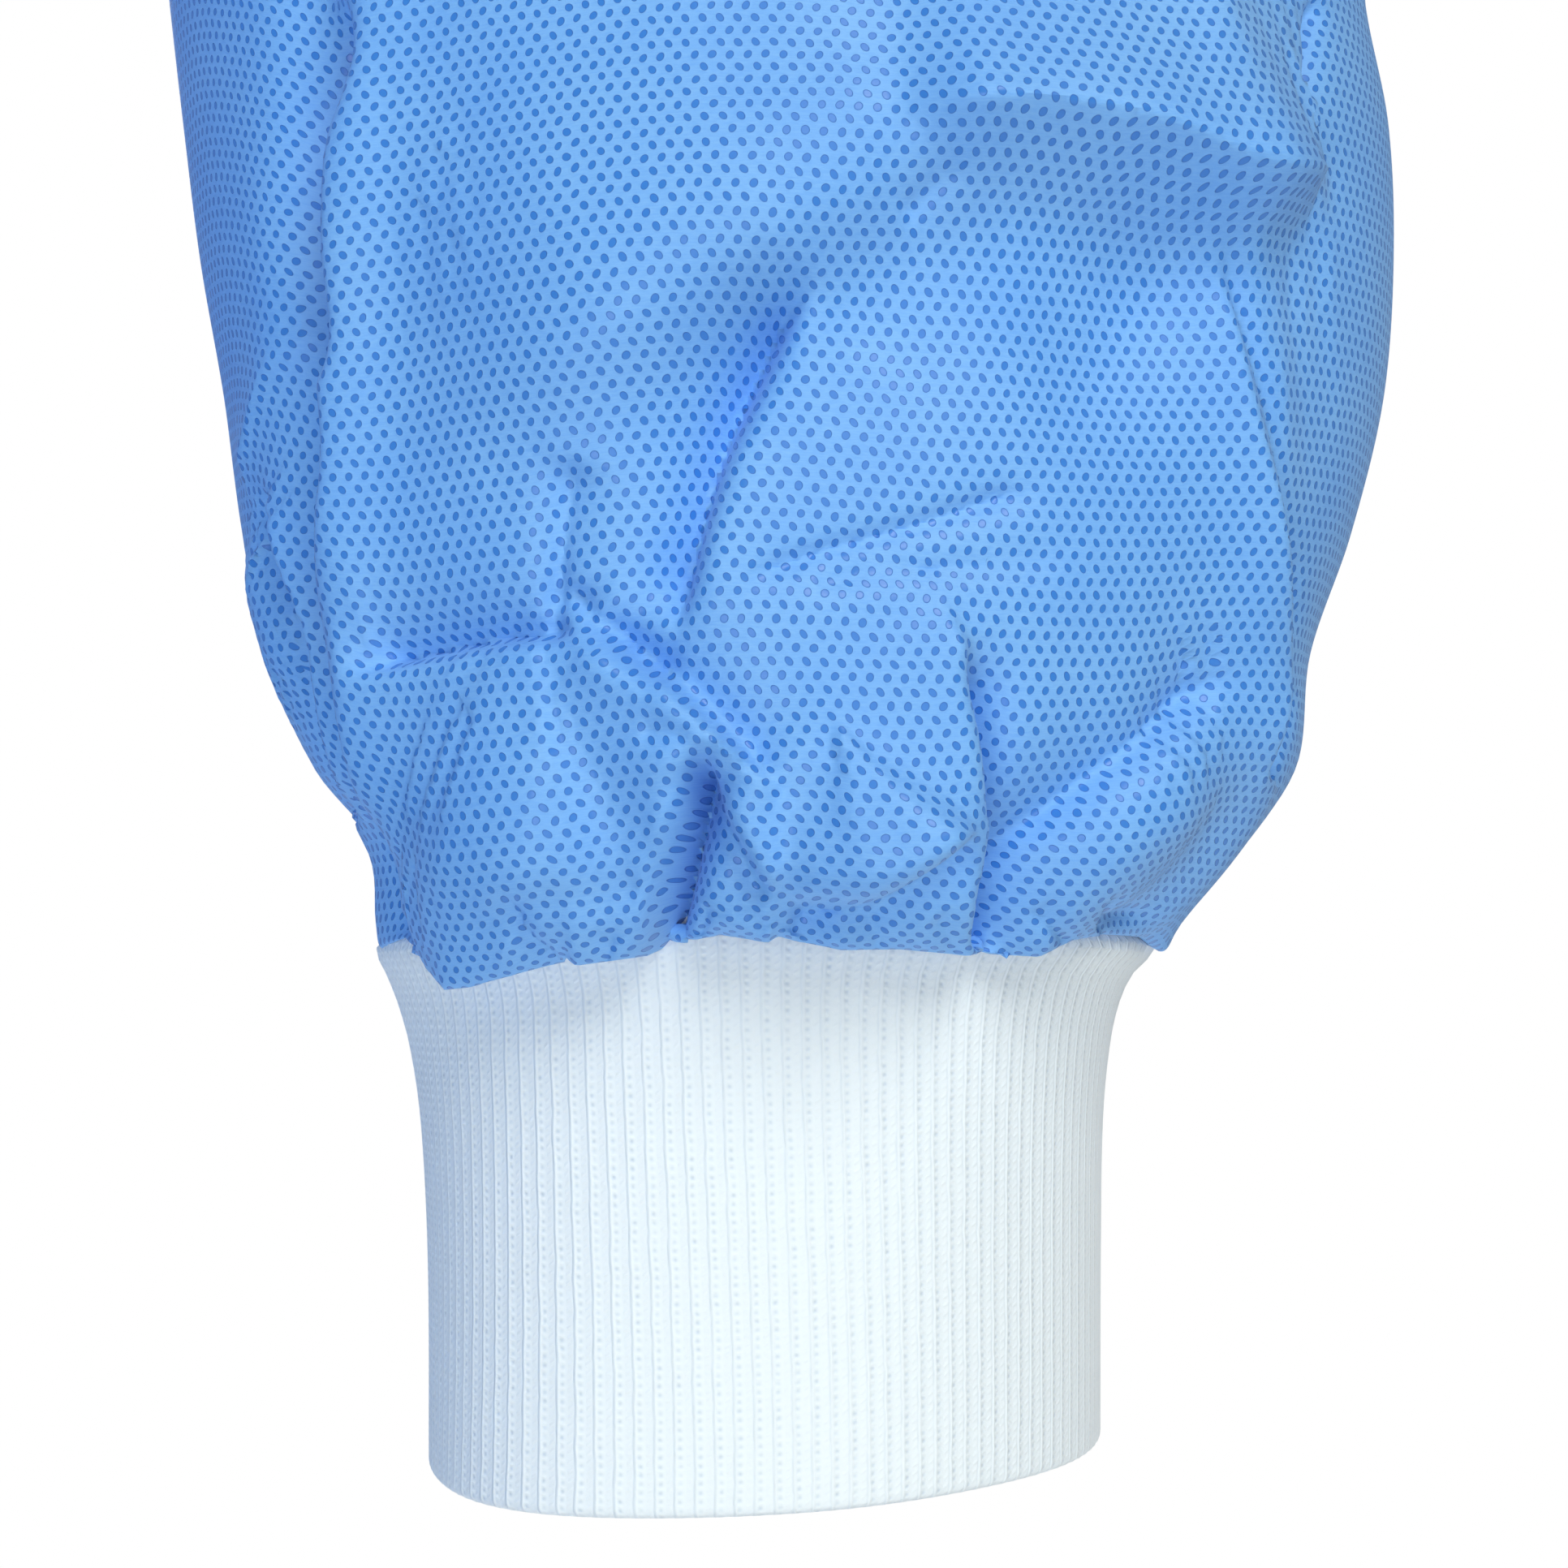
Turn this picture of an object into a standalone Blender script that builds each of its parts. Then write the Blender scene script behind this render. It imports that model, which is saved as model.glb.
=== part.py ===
"""Disposable lab jacket: blue non-woven cloth, white rib-knit cuffs, a turned-down collar and snaps.

The jacket is filled out as if worn, with nobody in it. Metres, +Z up. It faces -Y, and the
wearer's left is +X. The origin is the middle of the neck opening, level with the inner ends of the
shoulder seams, where a wearer's shoulders would hold it. Every cloth piece is a closed wall, and
the pieces lie a seam's gap apart. The left sleeve end is shaped fold by fold, and the right one
mirrors it.
"""

import math
from collections import namedtuple

import bpy
from mathutils import Vector
from mathutils.bvhtree import BVHTree

# Cloth
CLOTH_WALL = 0.0012
KNIT_WALL = 0.0016
SEAM_GAP = 0.0003
MITRE_LIMIT = 2.4

# Body
NECK_HALF_WIDTH = 0.082
NECK_POWER = 1.5
NeckHalf = namedtuple("NeckHalf", "reach drop first_row")
NECK = {
    "front": NeckHalf(0.078, 0.072, 14),
    "back": NeckHalf(0.062, 0.012, 16),
}
HALF_WIDTH = 0.25
HALF_DEPTH = 0.145
UNDERARM_ROW = 6
SHOULDER_ROW = 20
FACING = {"front": -1.0, "back": 1.0}
BOXINESS = 1.8
SHOULDER_SLOPE = 0.36
SHOULDER_TURN = 1.2
SHOULDER_REACH = 0.9
NECK_SLOPE = 0.10
PLACKET_HALF_WIDTH = 0.018
PLACKET_STEP = 0.002
PLACKET_STEP_BESIDE = 0.35
PLACKET_STEP_FADE_ROWS = 2

# Where the centre line of each half runs, from the hem up to the neck edge
CentreRow = namedtuple("CentreRow", "row z y")
CENTRE_LINE = {
    "front": (
        CentreRow(0, -0.755, -0.150),
        CentreRow(3, -0.530, -0.153),
        CentreRow(6, -0.300, -0.151),
        CentreRow(8, -0.243, -0.144),
        CentreRow(10, -0.186, -0.130),
        CentreRow(12, -0.129, -0.107),
        CentreRow(14, -0.072, -0.078),
    ),
    "back": (
        CentreRow(0, -0.755, 0.140),
        CentreRow(3, -0.520, 0.143),
        CentreRow(6, -0.288, 0.141),
        CentreRow(9, -0.205, 0.134),
        CentreRow(12, -0.120, 0.112),
        CentreRow(14, -0.064, 0.088),
        CentreRow(16, -0.012, 0.062),
    ),
}
SideRow = namedtuple("SideRow", "row x z")
SIDE_SEAM = (
    SideRow(0, 0.268, -0.755),
    SideRow(2, 0.261, -0.600),
    SideRow(4, 0.252, -0.430),
    SideRow(6, 0.245, -0.268),
)
FRONT_COLUMNS = (0.06, 0.15, 0.26, 0.38, 0.50, 0.62, 0.74, 0.87, 1.0)
BACK_COLUMNS = (0.10, 0.20, 0.30, 0.40, 0.50, 0.60, 0.70, 0.80, 0.90, 1.0)

# Soft upright folds of the body, deepest at the hem
BODY_FOLD_DEPTH = 0.014
BODY_FOLD_TOP_ROW = 12.0
BODY_FOLDS_PER_QUARTER = 2
BODY_FOLD_PHASE = {1: 0.4, -1: 1.3}

# Sleeve: each row is a ring round the arm. down is the way from the armhole along the sleeve,
# x, y and z its centre, tilt how far its axis leans out from straight down, in degrees, and
# outer, inner, front and back its four half-widths. gather and sag say how much of the gathers
# and of the drooping puffs it takes.
SleeveRing = namedtuple("SleeveRing", "down x y z tilt outer inner front back gather sag")
CUFF_SEAM_Z = -0.5505
WRIST_X = 0.410
WRIST_Y = -0.015
SLEEVE = (
    SleeveRing(0.0000, 0.2365, 0.000, -0.1600, 94.5, 0.1083, 0.1083, 0.068, 0.068, 0, 0),
    SleeveRing(0.0260, 0.2620, 0.000, -0.1660, 85, 0.104, 0.104, 0.070, 0.070, 0, 0),
    SleeveRing(0.0540, 0.2870, 0.001, -0.1810, 72, 0.099, 0.099, 0.072, 0.071, 0, 0),
    SleeveRing(0.0860, 0.3130, 0.002, -0.2020, 60, 0.095, 0.095, 0.072, 0.071, 0, 0),
    SleeveRing(0.1220, 0.3370, 0.003, -0.2290, 48, 0.091, 0.091, 0.071, 0.070, 0, 0),
    SleeveRing(0.1580, 0.3580, 0.003, -0.2580, 36, 0.087, 0.087, 0.069, 0.068, 0, 0),
    SleeveRing(0.1950, 0.3760, 0.002, -0.2900, 25, 0.084, 0.084, 0.067, 0.066, 0, 0),
    SleeveRing(0.2330, 0.3910, 0.000, -0.3250, 15, 0.080, 0.080, 0.064, 0.063, 0, 0),
    SleeveRing(0.2720, 0.4020, -0.003, -0.3620, 7, 0.076, 0.076, 0.061, 0.059, 0, 0),
    SleeveRing(0.3110, 0.4080, -0.008, -0.4000, 2, 0.0722, 0.0735, 0.058, 0.056, 0, 0),
    SleeveRing(0.3480, 0.4100, -0.012, -0.4370, 0, 0.0714, 0.0712, 0.057, 0.054, 0, 0),
    SleeveRing(0.3645, WRIST_X, -0.014, -0.4535, 0, 0.0740, 0.0690, 0.057, 0.054, 0, 0),
    SleeveRing(0.3805, WRIST_X, WRIST_Y, -0.4695, 0, 0.0744, 0.0668, 0.058, 0.055, 0.1, 0),
    SleeveRing(0.3965, WRIST_X, WRIST_Y, -0.4855, 0, 0.0732, 0.0640, 0.058, 0.055, 0.3, 0),
    SleeveRing(0.4125, WRIST_X, WRIST_Y, -0.5015, 0, 0.0693, 0.0618, 0.058, 0.055, 0.6, 0),
    SleeveRing(0.4265, WRIST_X, WRIST_Y, -0.5155, 0, 0.0645, 0.0587, 0.058, 0.055, 0.9, 0),
    SleeveRing(0.4395, WRIST_X, WRIST_Y, -0.5285, 0, 0.0628, 0.0535, 0.056, 0.053, 1, 0.1),
    SleeveRing(0.4495, WRIST_X, WRIST_Y, -0.5385, 0, 0.0568, 0.0470, 0.054, 0.050, 1, 0.3),
    SleeveRing(0.4575, WRIST_X, WRIST_Y, -0.5460, 0, 0.0502, 0.0460, 0.0500, 0.0470, 0.7, 0.7),
    SleeveRing(0.4635, WRIST_X, WRIST_Y, -0.5488, 0, 0.0466, 0.0461, 0.0454, 0.0438, 0, 1),
    SleeveRing(0.4690, WRIST_X, WRIST_Y, CUFF_SEAM_Z, 0, 0.0448, 0.0448, 0.0420, 0.0405, 0, 0),
)
SLEEVE_LENGTH = SLEEVE[-1].down
SOLID_RINGS = (0, 0.026, 0.07, 0.122, 0.18, 0.233, 0.29, 0.348, 0.3645, 0.3805, 0.3965,
               0.4125, 0.4265, 0.4395, 0.4495, 0.4575, 0.4635, SLEEVE_LENGTH)
DIVISIONS = 56
ARMHOLE_BOW = 0.018
ARMHOLE_BOW_FADE = 0.03
FOLD_FADE = 0.012
SEAM_LIFT_FADE = 0.03

# Gathers above the cuff seam: a valley at each named division of the ring, 0 at the outer side,
# a quarter of the way round at the front and half-way at the inner side
Gather = namedtuple("Gather", "division depth spread reach")
GATHERS = (
    Gather(1, 0.0030, 1.2, 0.024),
    Gather(5, 0.0034, 1.2, 0.028),
    Gather(9, 0.0044, 1.2, 0.046),
    Gather(13, 0.0034, 1.1, 0.024),
    Gather(17, 0.0046, 1.1, 0.036),
    Gather(20, 0.0016, 0.9, 0.012),
    Gather(24, 0.0040, 1.2, 0.030),
    Gather(28, 0.0026, 1.2, 0.026),
    Gather(32, 0.0036, 1.3, 0.040),
    Gather(36, 0.0042, 1.2, 0.030),
    Gather(40, 0.0034, 1.2, 0.048),
    Gather(44, 0.0044, 1.2, 0.034),
    Gather(48, 0.0036, 1.2, 0.026),
    Gather(52, 0.0040, 1.3, 0.040),
)
# Puffs that hang below the seam over the cuff
Puff = namedtuple("Puff", "division spread fall")
PUFFS = (
    Puff(21.0, 3.0, 0.0042),
    Puff(11.0, 1.6, 0.0012),
    Puff(6.5, 1.4, 0.0010),
    Puff(34.0, 1.6, 0.0022),
    Puff(42.0, 1.7, 0.0026),
    Puff(50.0, 1.6, 0.0018),
)
PUFF_STAND_OFF = 0.5
# The two edges pressed into the sleeve when it was packed flat: a ridge and the fold beside it
PressedRow = namedtuple("PressedRow", "rise inner_angle outer_angle strength")
PRESSED_EDGE = (
    PressedRow(0.000, 147, 22, 0.1),
    PressedRow(0.017, 144, 24, 0.5),
    PressedRow(0.033, 138, 33, 0.7),
    PressedRow(0.050, 136, 39, 0.9),
    PressedRow(0.085, 130, 48, 1.0),
    PressedRow(0.113, 126, 52, 0.9),
    PressedRow(0.150, 124, 54, 0.4),
    PressedRow(0.200, 124, 54, 0.0),
)
INNER_RIDGE = 0.0030
INNER_FOLD = 0.0070
INNER_FOLD_ANGLE = 8.0
OUTER_RIDGE = 0.0024
RIDGE_SPREAD = 5.0
# Largest folds on the front of the sleeve end, seen from the front: across is the way from the
# wrist's middle towards the outer side, rise the way up from the cuff seam, lean the angle of
# its run, and a negative height is a valley
Fold = namedtuple("Fold", "across rise half_length half_width lean height")
FRONT_FOLDS = (
    Fold(0.050, 0.0990, 0.022, 0.0050, -8, 0.0028),
    Fold(0.048, 0.0925, 0.024, 0.0045, -5, -0.0036),
    Fold(0.002, 0.0670, 0.032, 0.0065, 61, -0.0040),
    Fold(-0.024, 0.0560, 0.018, 0.0050, 62, -0.0024),
    Fold(-0.036, 0.0820, 0.028, 0.0160, 75, 0.0016),
    Fold(0.030, 0.0640, 0.026, 0.0150, 62, 0.0022),
    Fold(-0.025, 0.0200, 0.017, 0.0110, -10, 0.0044),
    Fold(-0.009, 0.0120, 0.014, 0.0035, 76, -0.0032),
    Fold(0.002, 0.0110, 0.011, 0.0035, -50, -0.0028),
    Fold(0.009, 0.0240, 0.013, 0.0085, 72, 0.0026),
    Fold(0.0245, 0.0165, 0.017, 0.0032, 92, -0.0030),
    Fold(0.039, 0.0250, 0.015, 0.0032, 36, -0.0022),
    Fold(0.042, 0.0120, 0.012, 0.0070, 12, 0.0022),
)
BACK_FOLD_SHARE = 0.8
BACK_FOLD_RISE = 0.009

# Cuff: rings from the seam down to the folded lower edge, and how much of its lean and of its
# bulges each takes
CuffRing = namedtuple("CuffRing", "fall wide front back share")
CUFF = (
    CuffRing(0.0000, 0.0448, 0.0420, 0.0405, 0.0),
    CuffRing(0.0050, 0.0424, 0.0405, 0.0388, 0.0),
    CuffRing(0.0130, 0.0402, 0.0388, 0.0365, 0.3),
    CuffRing(0.0360, 0.0398, 0.0384, 0.0360, 0.7),
    CuffRing(0.0595, 0.0397, 0.0382, 0.0360, 1.0),
)
CUFF_EDGE_LEAN = 0.0013
CUFF_SEAM_LIFT = 0.0016
CuffBulge = namedtuple("CuffBulge", "angle spread out")
CUFF_BULGES = (CuffBulge(130, 26, 0.0036), CuffBulge(52, 26, -0.0014), CuffBulge(318, 30, 0.0016))

# Collar: turned down over a stand. fall is the length from the fold to the outer edge, and swing
# how far the edge is carried sideways to make the point.
COLLAR_END_SHARE = 0.25
COLLAR_LEAN = 0.1
COLLAR_STAND_BREAK = 0.55
COLLAR_TUCK = 0.6
COLLAR_FOLD_WIDTH = 0.0075
COLLAR_FOLD_RISE = 0.003
COLLAR_CLEARANCE = 0.0032
COLLAR_ROUNDNESS = 0.004
NeckPlace = namedtuple("NeckPlace", "side degrees point half row")
CollarBase = namedtuple("CollarBase", "degrees side point direction outward rise run")
CollarRow = namedtuple("CollarRow", "turn stand fall swing")
COLLAR = (
    CollarRow(0, 0.022, 0.080, 0.030),
    CollarRow(30, 0.026, 0.070, 0.012),
    CollarRow(60, 0.030, 0.062, 0.003),
    CollarRow(90, 0.032, 0.058, 0.0),
    CollarRow(180, 0.034, 0.056, 0.0),
)

# Snaps down the left front
SNAP_HEIGHTS = (-0.125, -0.245, -0.365, -0.485, -0.605)
SNAP_SEGMENTS = 16
SnapRing = namedtuple("SnapRing", "radius lift")
SNAP_CAP = (SnapRing(0.0060, 0.0), SnapRing(0.0064, 0.0006), SnapRing(0.0052, 0.0015),
            SnapRing(0.0024, 0.0020))

Finish = namedtuple("Finish", "colour roughness")
FINISHES = {
    "non_woven_cloth": Finish((0.115, 0.400, 0.860), 0.62),
    "knit": Finish((0.80, 0.89, 0.95), 0.85),
    "snap_plastic": Finish((0.86, 0.90, 0.94), 0.35),
}
TOWARDS_FRONT = Vector((0, -1, 0))

# Steps over which normals and seam runs are measured
BODY_PROBE = 0.01
TURN_PROBE = 0.02
DOWN_PROBE = 0.0008
SEAM_PROBE = 0.05
INWARD_PROBE = 0.03
ARMHOLE_PROBE = 0.01
SLEEVE_END_PROBE = 0.001
INWARD_END_PROBE = 0.003
CUFF_PROBE = 0.004
# Steps of a search by halves, and where rays that look for the cloth start from
HALVINGS = 30
ABOVE_Z = 0.3
BEFORE_Y = -1.0
LEAST_COSINE = 0.1


def hermite(start, end, leave, arrive, t):
    """A cubic from start to end with the given end tangents; numbers or vectors."""
    return (start * (2 * t ** 3 - 3 * t ** 2 + 1) + leave * (t ** 3 - 2 * t ** 2 + t)
            + end * (3 * t ** 2 - 2 * t ** 3) + arrive * (t ** 3 - t ** 2))


def along(table, at, column):
    """A column of a table read smoothly between its rows, which rise by their first column."""
    keys = [row[0] for row in table]
    values = [getattr(row, column) for row in table]
    last = len(table) - 1
    if at <= keys[0]:
        return values[0]
    if at >= keys[last]:
        return values[last]
    low = next(i for i in range(last) if at <= keys[i + 1])
    span = keys[low + 1] - keys[low]

    def slope(i):
        before, after = max(i - 1, 0), min(i + 1, last)
        return (values[after] - values[before]) / (keys[after] - keys[before])

    return hermite(values[low], values[low + 1], slope(low) * span, slope(low + 1) * span,
                   (at - keys[low]) / span)


def bell(distance, spread):
    return math.exp(-(distance / spread) ** 2)


def mix(a, b, share):
    return a * (1 - share) + b * share


def ease(t):
    t = min(max(t, 0.0), 1.0)
    return t * t * (3 - 2 * t)


def round_gap(a, b, turn):
    """How far a is from b on a ring that is turn long."""
    return (a - b + turn / 2) % turn - turn / 2


def gather_depth(angle, rise):
    """Depth of the gathers at an angle round the sleeve, at a rise above the cuff seam."""
    division = math.degrees(angle) * DIVISIONS / 360
    return sum(
        g.depth * bell(round_gap(division, g.division, DIVISIONS), g.spread)
        * ease(1 - rise / g.reach)
        for g in GATHERS)


def puff_fall(angle):
    division = math.degrees(angle) * DIVISIONS / 360
    return sum(p.fall * bell(round_gap(division, p.division, DIVISIONS), p.spread) for p in PUFFS)


def pressed_edge(angle, rise):
    """Relief of the two pressed edges on the front of the sleeve."""
    degrees = math.degrees(angle)
    inner = along(PRESSED_EDGE, rise, "inner_angle")
    outer = along(PRESSED_EDGE, rise, "outer_angle")
    relief = (INNER_RIDGE * bell(round_gap(degrees, inner, 360), RIDGE_SPREAD)
              - INNER_FOLD * bell(round_gap(degrees, inner + INNER_FOLD_ANGLE, 360), RIDGE_SPREAD)
              + OUTER_RIDGE * bell(round_gap(degrees, outer, 360), RIDGE_SPREAD))
    return relief * along(PRESSED_EDGE, rise, "strength")


def fold_relief(across, rise):
    """Height of the large hand-placed folds at a place on the sleeve end."""
    height = 0.0
    for fold in FRONT_FOLDS:
        lean = math.radians(fold.lean)
        run = (across - fold.across) * math.cos(lean) + (rise - fold.rise) * math.sin(lean)
        off = (rise - fold.rise) * math.cos(lean) - (across - fold.across) * math.sin(lean)
        height += fold.height * bell(run, fold.half_length) * bell(off, fold.half_width)
    return height


def sleeve_point(angle, down):
    """A point of the left sleeve's middle surface; angle 0 is outer, a quarter turn front."""
    tilt = math.radians(along(SLEEVE, down, "tilt"))
    wide = Vector((math.cos(tilt), 0, math.sin(tilt)))
    across, forward = math.cos(angle), math.sin(angle)
    half_wide = along(SLEEVE, down, "outer" if across > 0 else "inner")
    half_deep = along(SLEEVE, down, "front" if forward > 0 else "back")
    point = Vector([along(SLEEVE, down, axis) for axis in "xyz"])
    point += wide * half_wide * across + TOWARDS_FRONT * half_deep * forward
    point.x -= ARMHOLE_BOW * forward ** 2 * math.exp(-down / ARMHOLE_BOW_FADE)
    rise = max(along(SLEEVE, down, "z") - CUFF_SEAM_Z, 0)
    outward = (wide * across * half_deep + TOWARDS_FRONT * forward * half_wide).normalized()
    relief = pressed_edge(angle, rise) - gather_depth(angle, rise) * along(SLEEVE, down, "gather")
    fade = ease((SLEEVE_LENGTH - down) / FOLD_FADE)
    if forward > 0:
        relief += fold_relief(half_wide * across, rise) * ease(forward * 4) * fade
    else:
        relief += (fold_relief(-half_wide * across, rise - BACK_FOLD_RISE) * BACK_FOLD_SHARE
                   * ease(-forward * 4) * fade)
    fall = puff_fall(angle) * along(SLEEVE, down, "sag")
    point += outward * (relief + PUFF_STAND_OFF * fall)
    lift = ease(1 - (SLEEVE_LENGTH - down) / SEAM_LIFT_FADE)
    point.z += CUFF_SEAM_LIFT * forward * lift - fall
    return point


def cuff_point(angle, fall):
    half_wide = along(CUFF, fall, "wide")
    half_deep = along(CUFF, fall, "front" if math.sin(angle) > 0 else "back")
    share = along(CUFF, fall, "share")
    degrees = math.degrees(angle)
    bulge = share * sum(
        b.out * bell(round_gap(degrees, b.angle, 360), b.spread) for b in CUFF_BULGES)
    lean = share * CUFF_EDGE_LEAN * math.cos(angle)
    lean += (1 - share) * CUFF_SEAM_LIFT * math.sin(angle)
    return Vector((WRIST_X + (half_wide + bulge) * math.cos(angle),
                   WRIST_Y - (half_deep + bulge) * math.sin(angle), CUFF_SEAM_Z - fall + lean))


def side_edge(row, half):
    """The outer edge of a body half: the side seam, then the armhole."""
    if row <= UNDERARM_ROW:
        return Vector((along(SIDE_SEAM, row, "x"), 0, along(SIDE_SEAM, row, "z")))
    turn = math.pi * (row - UNDERARM_ROW) / (SHOULDER_ROW - UNDERARM_ROW)
    return sleeve_point(math.pi + FACING[half] * turn, 0)


def centre_edge(row, half):
    """The inner edge of a body half: the centre line, then the neck edge."""
    neck = NECK[half]
    if row <= neck.first_row:
        return Vector((0, along(CENTRE_LINE[half], row, "y"), along(CENTRE_LINE[half], row, "z")))
    turn = math.pi / 2 * (row - neck.first_row) / (SHOULDER_ROW - neck.first_row)
    drop = neck.drop * max(math.cos(turn), 0) ** NECK_POWER
    return Vector((NECK_HALF_WIDTH * math.sin(turn), FACING[half] * neck.reach * math.cos(turn),
                   -drop))


def body_point(u, row, half, side):
    """A point of the body's middle surface, u from the centre or neck edge to the outer edge."""
    start, end = centre_edge(row, half), side_edge(row, half)
    length = (end - start).length
    climb = ease((row - UNDERARM_ROW) / (SHOULDER_ROW - UNDERARM_ROW))
    turn = math.radians(90) * (1 - climb) ** SHOULDER_TURN
    leave = Vector((1, 0, -NECK_SLOPE * climb)) * mix(BOXINESS * end.x, length, climb)
    arrive = Vector((math.cos(turn), -FACING[half] * math.sin(turn), -SHOULDER_SLOPE * climb ** 2))
    arrive *= mix(BOXINESS * abs(start.y), SHOULDER_REACH * length, climb)
    point = hermite(start, end, leave, arrive, u)
    quarter = u * math.pi / 2
    round_body = quarter if half == "front" else math.pi - quarter
    wave = math.sin(round_body) * math.cos(
        round_body * 4 * BODY_FOLDS_PER_QUARTER + BODY_FOLD_PHASE[side])
    outward = Vector((point.x / HALF_WIDTH ** 2, point.y / HALF_DEPTH ** 2, 0)).normalized()
    fade = max(1 - row / mix(BODY_FOLD_TOP_ROW, UNDERARM_ROW - 1, u), 0)
    point += outward * BODY_FOLD_DEPTH * wave * fade
    return Vector((side * point.x, point.y, point.z))


def body_normal(u, row, half, side):
    u0, u1 = max(u - BODY_PROBE, 0), min(u + BODY_PROBE, 1)
    r0, r1 = max(row - BODY_PROBE, 0), min(row + BODY_PROBE, SHOULDER_ROW)
    run = body_point(u1, row, half, side) - body_point(u0, row, half, side)
    climb = body_point(u, r1, half, side) - body_point(u, r0, half, side)
    return (run.cross(climb) * -FACING[half] * side).normalized()


def sleeve_normal(angle, down):
    d0, d1 = max(down - DOWN_PROBE, 0), min(down + DOWN_PROBE, SLEEVE_LENGTH)
    round_it = sleeve_point(angle + TURN_PROBE, down) - sleeve_point(angle - TURN_PROBE, down)
    down_it = sleeve_point(angle, d1) - sleeve_point(angle, d0)
    return round_it.cross(down_it).normalized()


def mirror_x(vector):
    return Vector((-vector.x, vector.y, vector.z))


def mitred(point, seam_run, own_normal, other_normal, inward):
    """A seam edge cut on the mitre between two walls: its point, and its wall direction."""
    middle = (own_normal + other_normal).normalized()
    reach = min(1 / max(middle.dot(own_normal), LEAST_COSINE), MITRE_LIMIT)
    away = middle.cross(seam_run).normalized()
    if away.dot(inward) < 0:
        away.negate()
    return point + away * SEAM_GAP / 2, middle * reach


def material(name):
    finish = FINISHES[name]
    made = bpy.data.materials.get(name) or bpy.data.materials.new(name)
    made.use_nodes = True
    shader = made.node_tree.nodes["Principled BSDF"]
    shader.inputs["Base Color"].default_value = (*finish.colour, 1)
    shader.inputs["Roughness"].default_value = finish.roughness
    shader.inputs["Metallic"].default_value = 0.0
    return made


def solid(name, points, faces, finish, sharp_degrees=40):
    mesh = bpy.data.meshes.new(name)
    mesh.from_pydata([tuple(p) for p in points], [], faces)
    mesh.update()
    mesh.shade_smooth()
    mesh.set_sharp_from_angle(angle=math.radians(sharp_degrees))
    mesh.materials.append(material(finish))
    made = bpy.data.objects.new(name, mesh)
    made.parent = bpy.data.objects["lab_jacket"]
    bpy.context.collection.objects.link(made)
    return made


def triangles(points, quads):
    """Quads cut across their shorter diagonal, so both skins of a wall are cut alike."""
    cut = []
    for a, b, c, d in quads:
        if (points[a] - points[c]).length <= (points[b] - points[d]).length:
            cut += [(a, b, c), (a, c, d)]
        else:
            cut += [(b, c, d), (b, d, a)]
    return cut


def wall(name, points, quads, directions, thickness, finish):
    """A closed wall about a middle surface, whose quads are seen anticlockwise from outside."""
    skin = triangles(points, quads)
    count = len(points)
    shell = [p + d * thickness / 2 for p, d in zip(points, directions)]
    shell += [p - d * thickness / 2 for p, d in zip(points, directions)]
    faces = skin + [tuple(i + count for i in reversed(face)) for face in skin]
    edges = {(face[i], face[(i + 1) % 3]) for face in skin for i in range(3)}
    for a, b in sorted(edges):
        if (b, a) not in edges:
            faces += [(b, a, a + count), (b, a + count, b + count)]
    return solid(name, shell, faces, finish)


def near_edge_u(row, half, side, width):
    """How far along a row a place lies that is width away from its inner edge."""
    start = body_point(0, row, half, side)
    low, high = 0.0, 0.5
    for _ in range(HALVINGS):
        middle = (low + high) / 2
        if abs(body_point(middle, row, half, side).x - start.x) < width:
            low = middle
        else:
            high = middle
    return low


class Panel:
    """The middle surface of one body panel: its points, wall directions and quads."""

    def __init__(self):
        self.index, self.points, self.directions, self.quads = {}, [], [], []

    def add(self, key, point, direction):
        if key not in self.index:
            self.index[key] = len(self.points)
            self.points.append(point)
            self.directions.append(direction)

    def quad(self, keys, flip):
        ring = [self.index[k] for k in keys]
        self.quads.append(tuple(reversed(ring)) if flip else tuple(ring))


def seam_normal(u, row, side):
    """The normal shared by front and back where they meet, at a side or shoulder seam."""
    return (body_normal(u, row, "front", side) + body_normal(u, row, "back", side)).normalized()


def edge_vertex(u, row, half, side):
    """A body vertex with its wall direction, mitred where it meets a sleeve."""
    point = body_point(u, row, half, side)
    joins_other_half = (u == 1 and row <= UNDERARM_ROW) or row == SHOULDER_ROW
    normal = seam_normal(u, row, side) if joins_other_half else body_normal(u, row, half, side)
    direction = normal
    if u == 1 and row >= UNDERARM_ROW:
        turn = math.pi * (row - UNDERARM_ROW) / (SHOULDER_ROW - UNDERARM_ROW)
        angle = math.pi + FACING[half] * turn
        sleeve_out = sleeve_normal(angle, 0)
        run = sleeve_point(angle + SEAM_PROBE, 0) - sleeve_point(angle - SEAM_PROBE, 0)
        if side < 0:
            sleeve_out, run = mirror_x(sleeve_out), mirror_x(run)
        inward = body_point(1 - INWARD_PROBE, row, half, side) - point
        point, direction = mitred(point, run, normal, sleeve_out, inward)
    if joins_other_half:
        point = Vector((point.x, FACING[half] * SEAM_GAP / 2, point.z))
        direction = Vector((direction.x, 0, direction.z))
    return point, direction


def collar_rise(turn):
    """The way the collar's stand leaves the neck edge, and its outward normal."""
    outward = Vector((math.sin(turn) / NECK_HALF_WIDTH, -math.cos(turn) / NECK["front"].reach, 0))
    outward.normalize()
    rise = (Vector((0, 0, 1)) - outward * COLLAR_LEAN).normalized()
    return rise, outward


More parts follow.
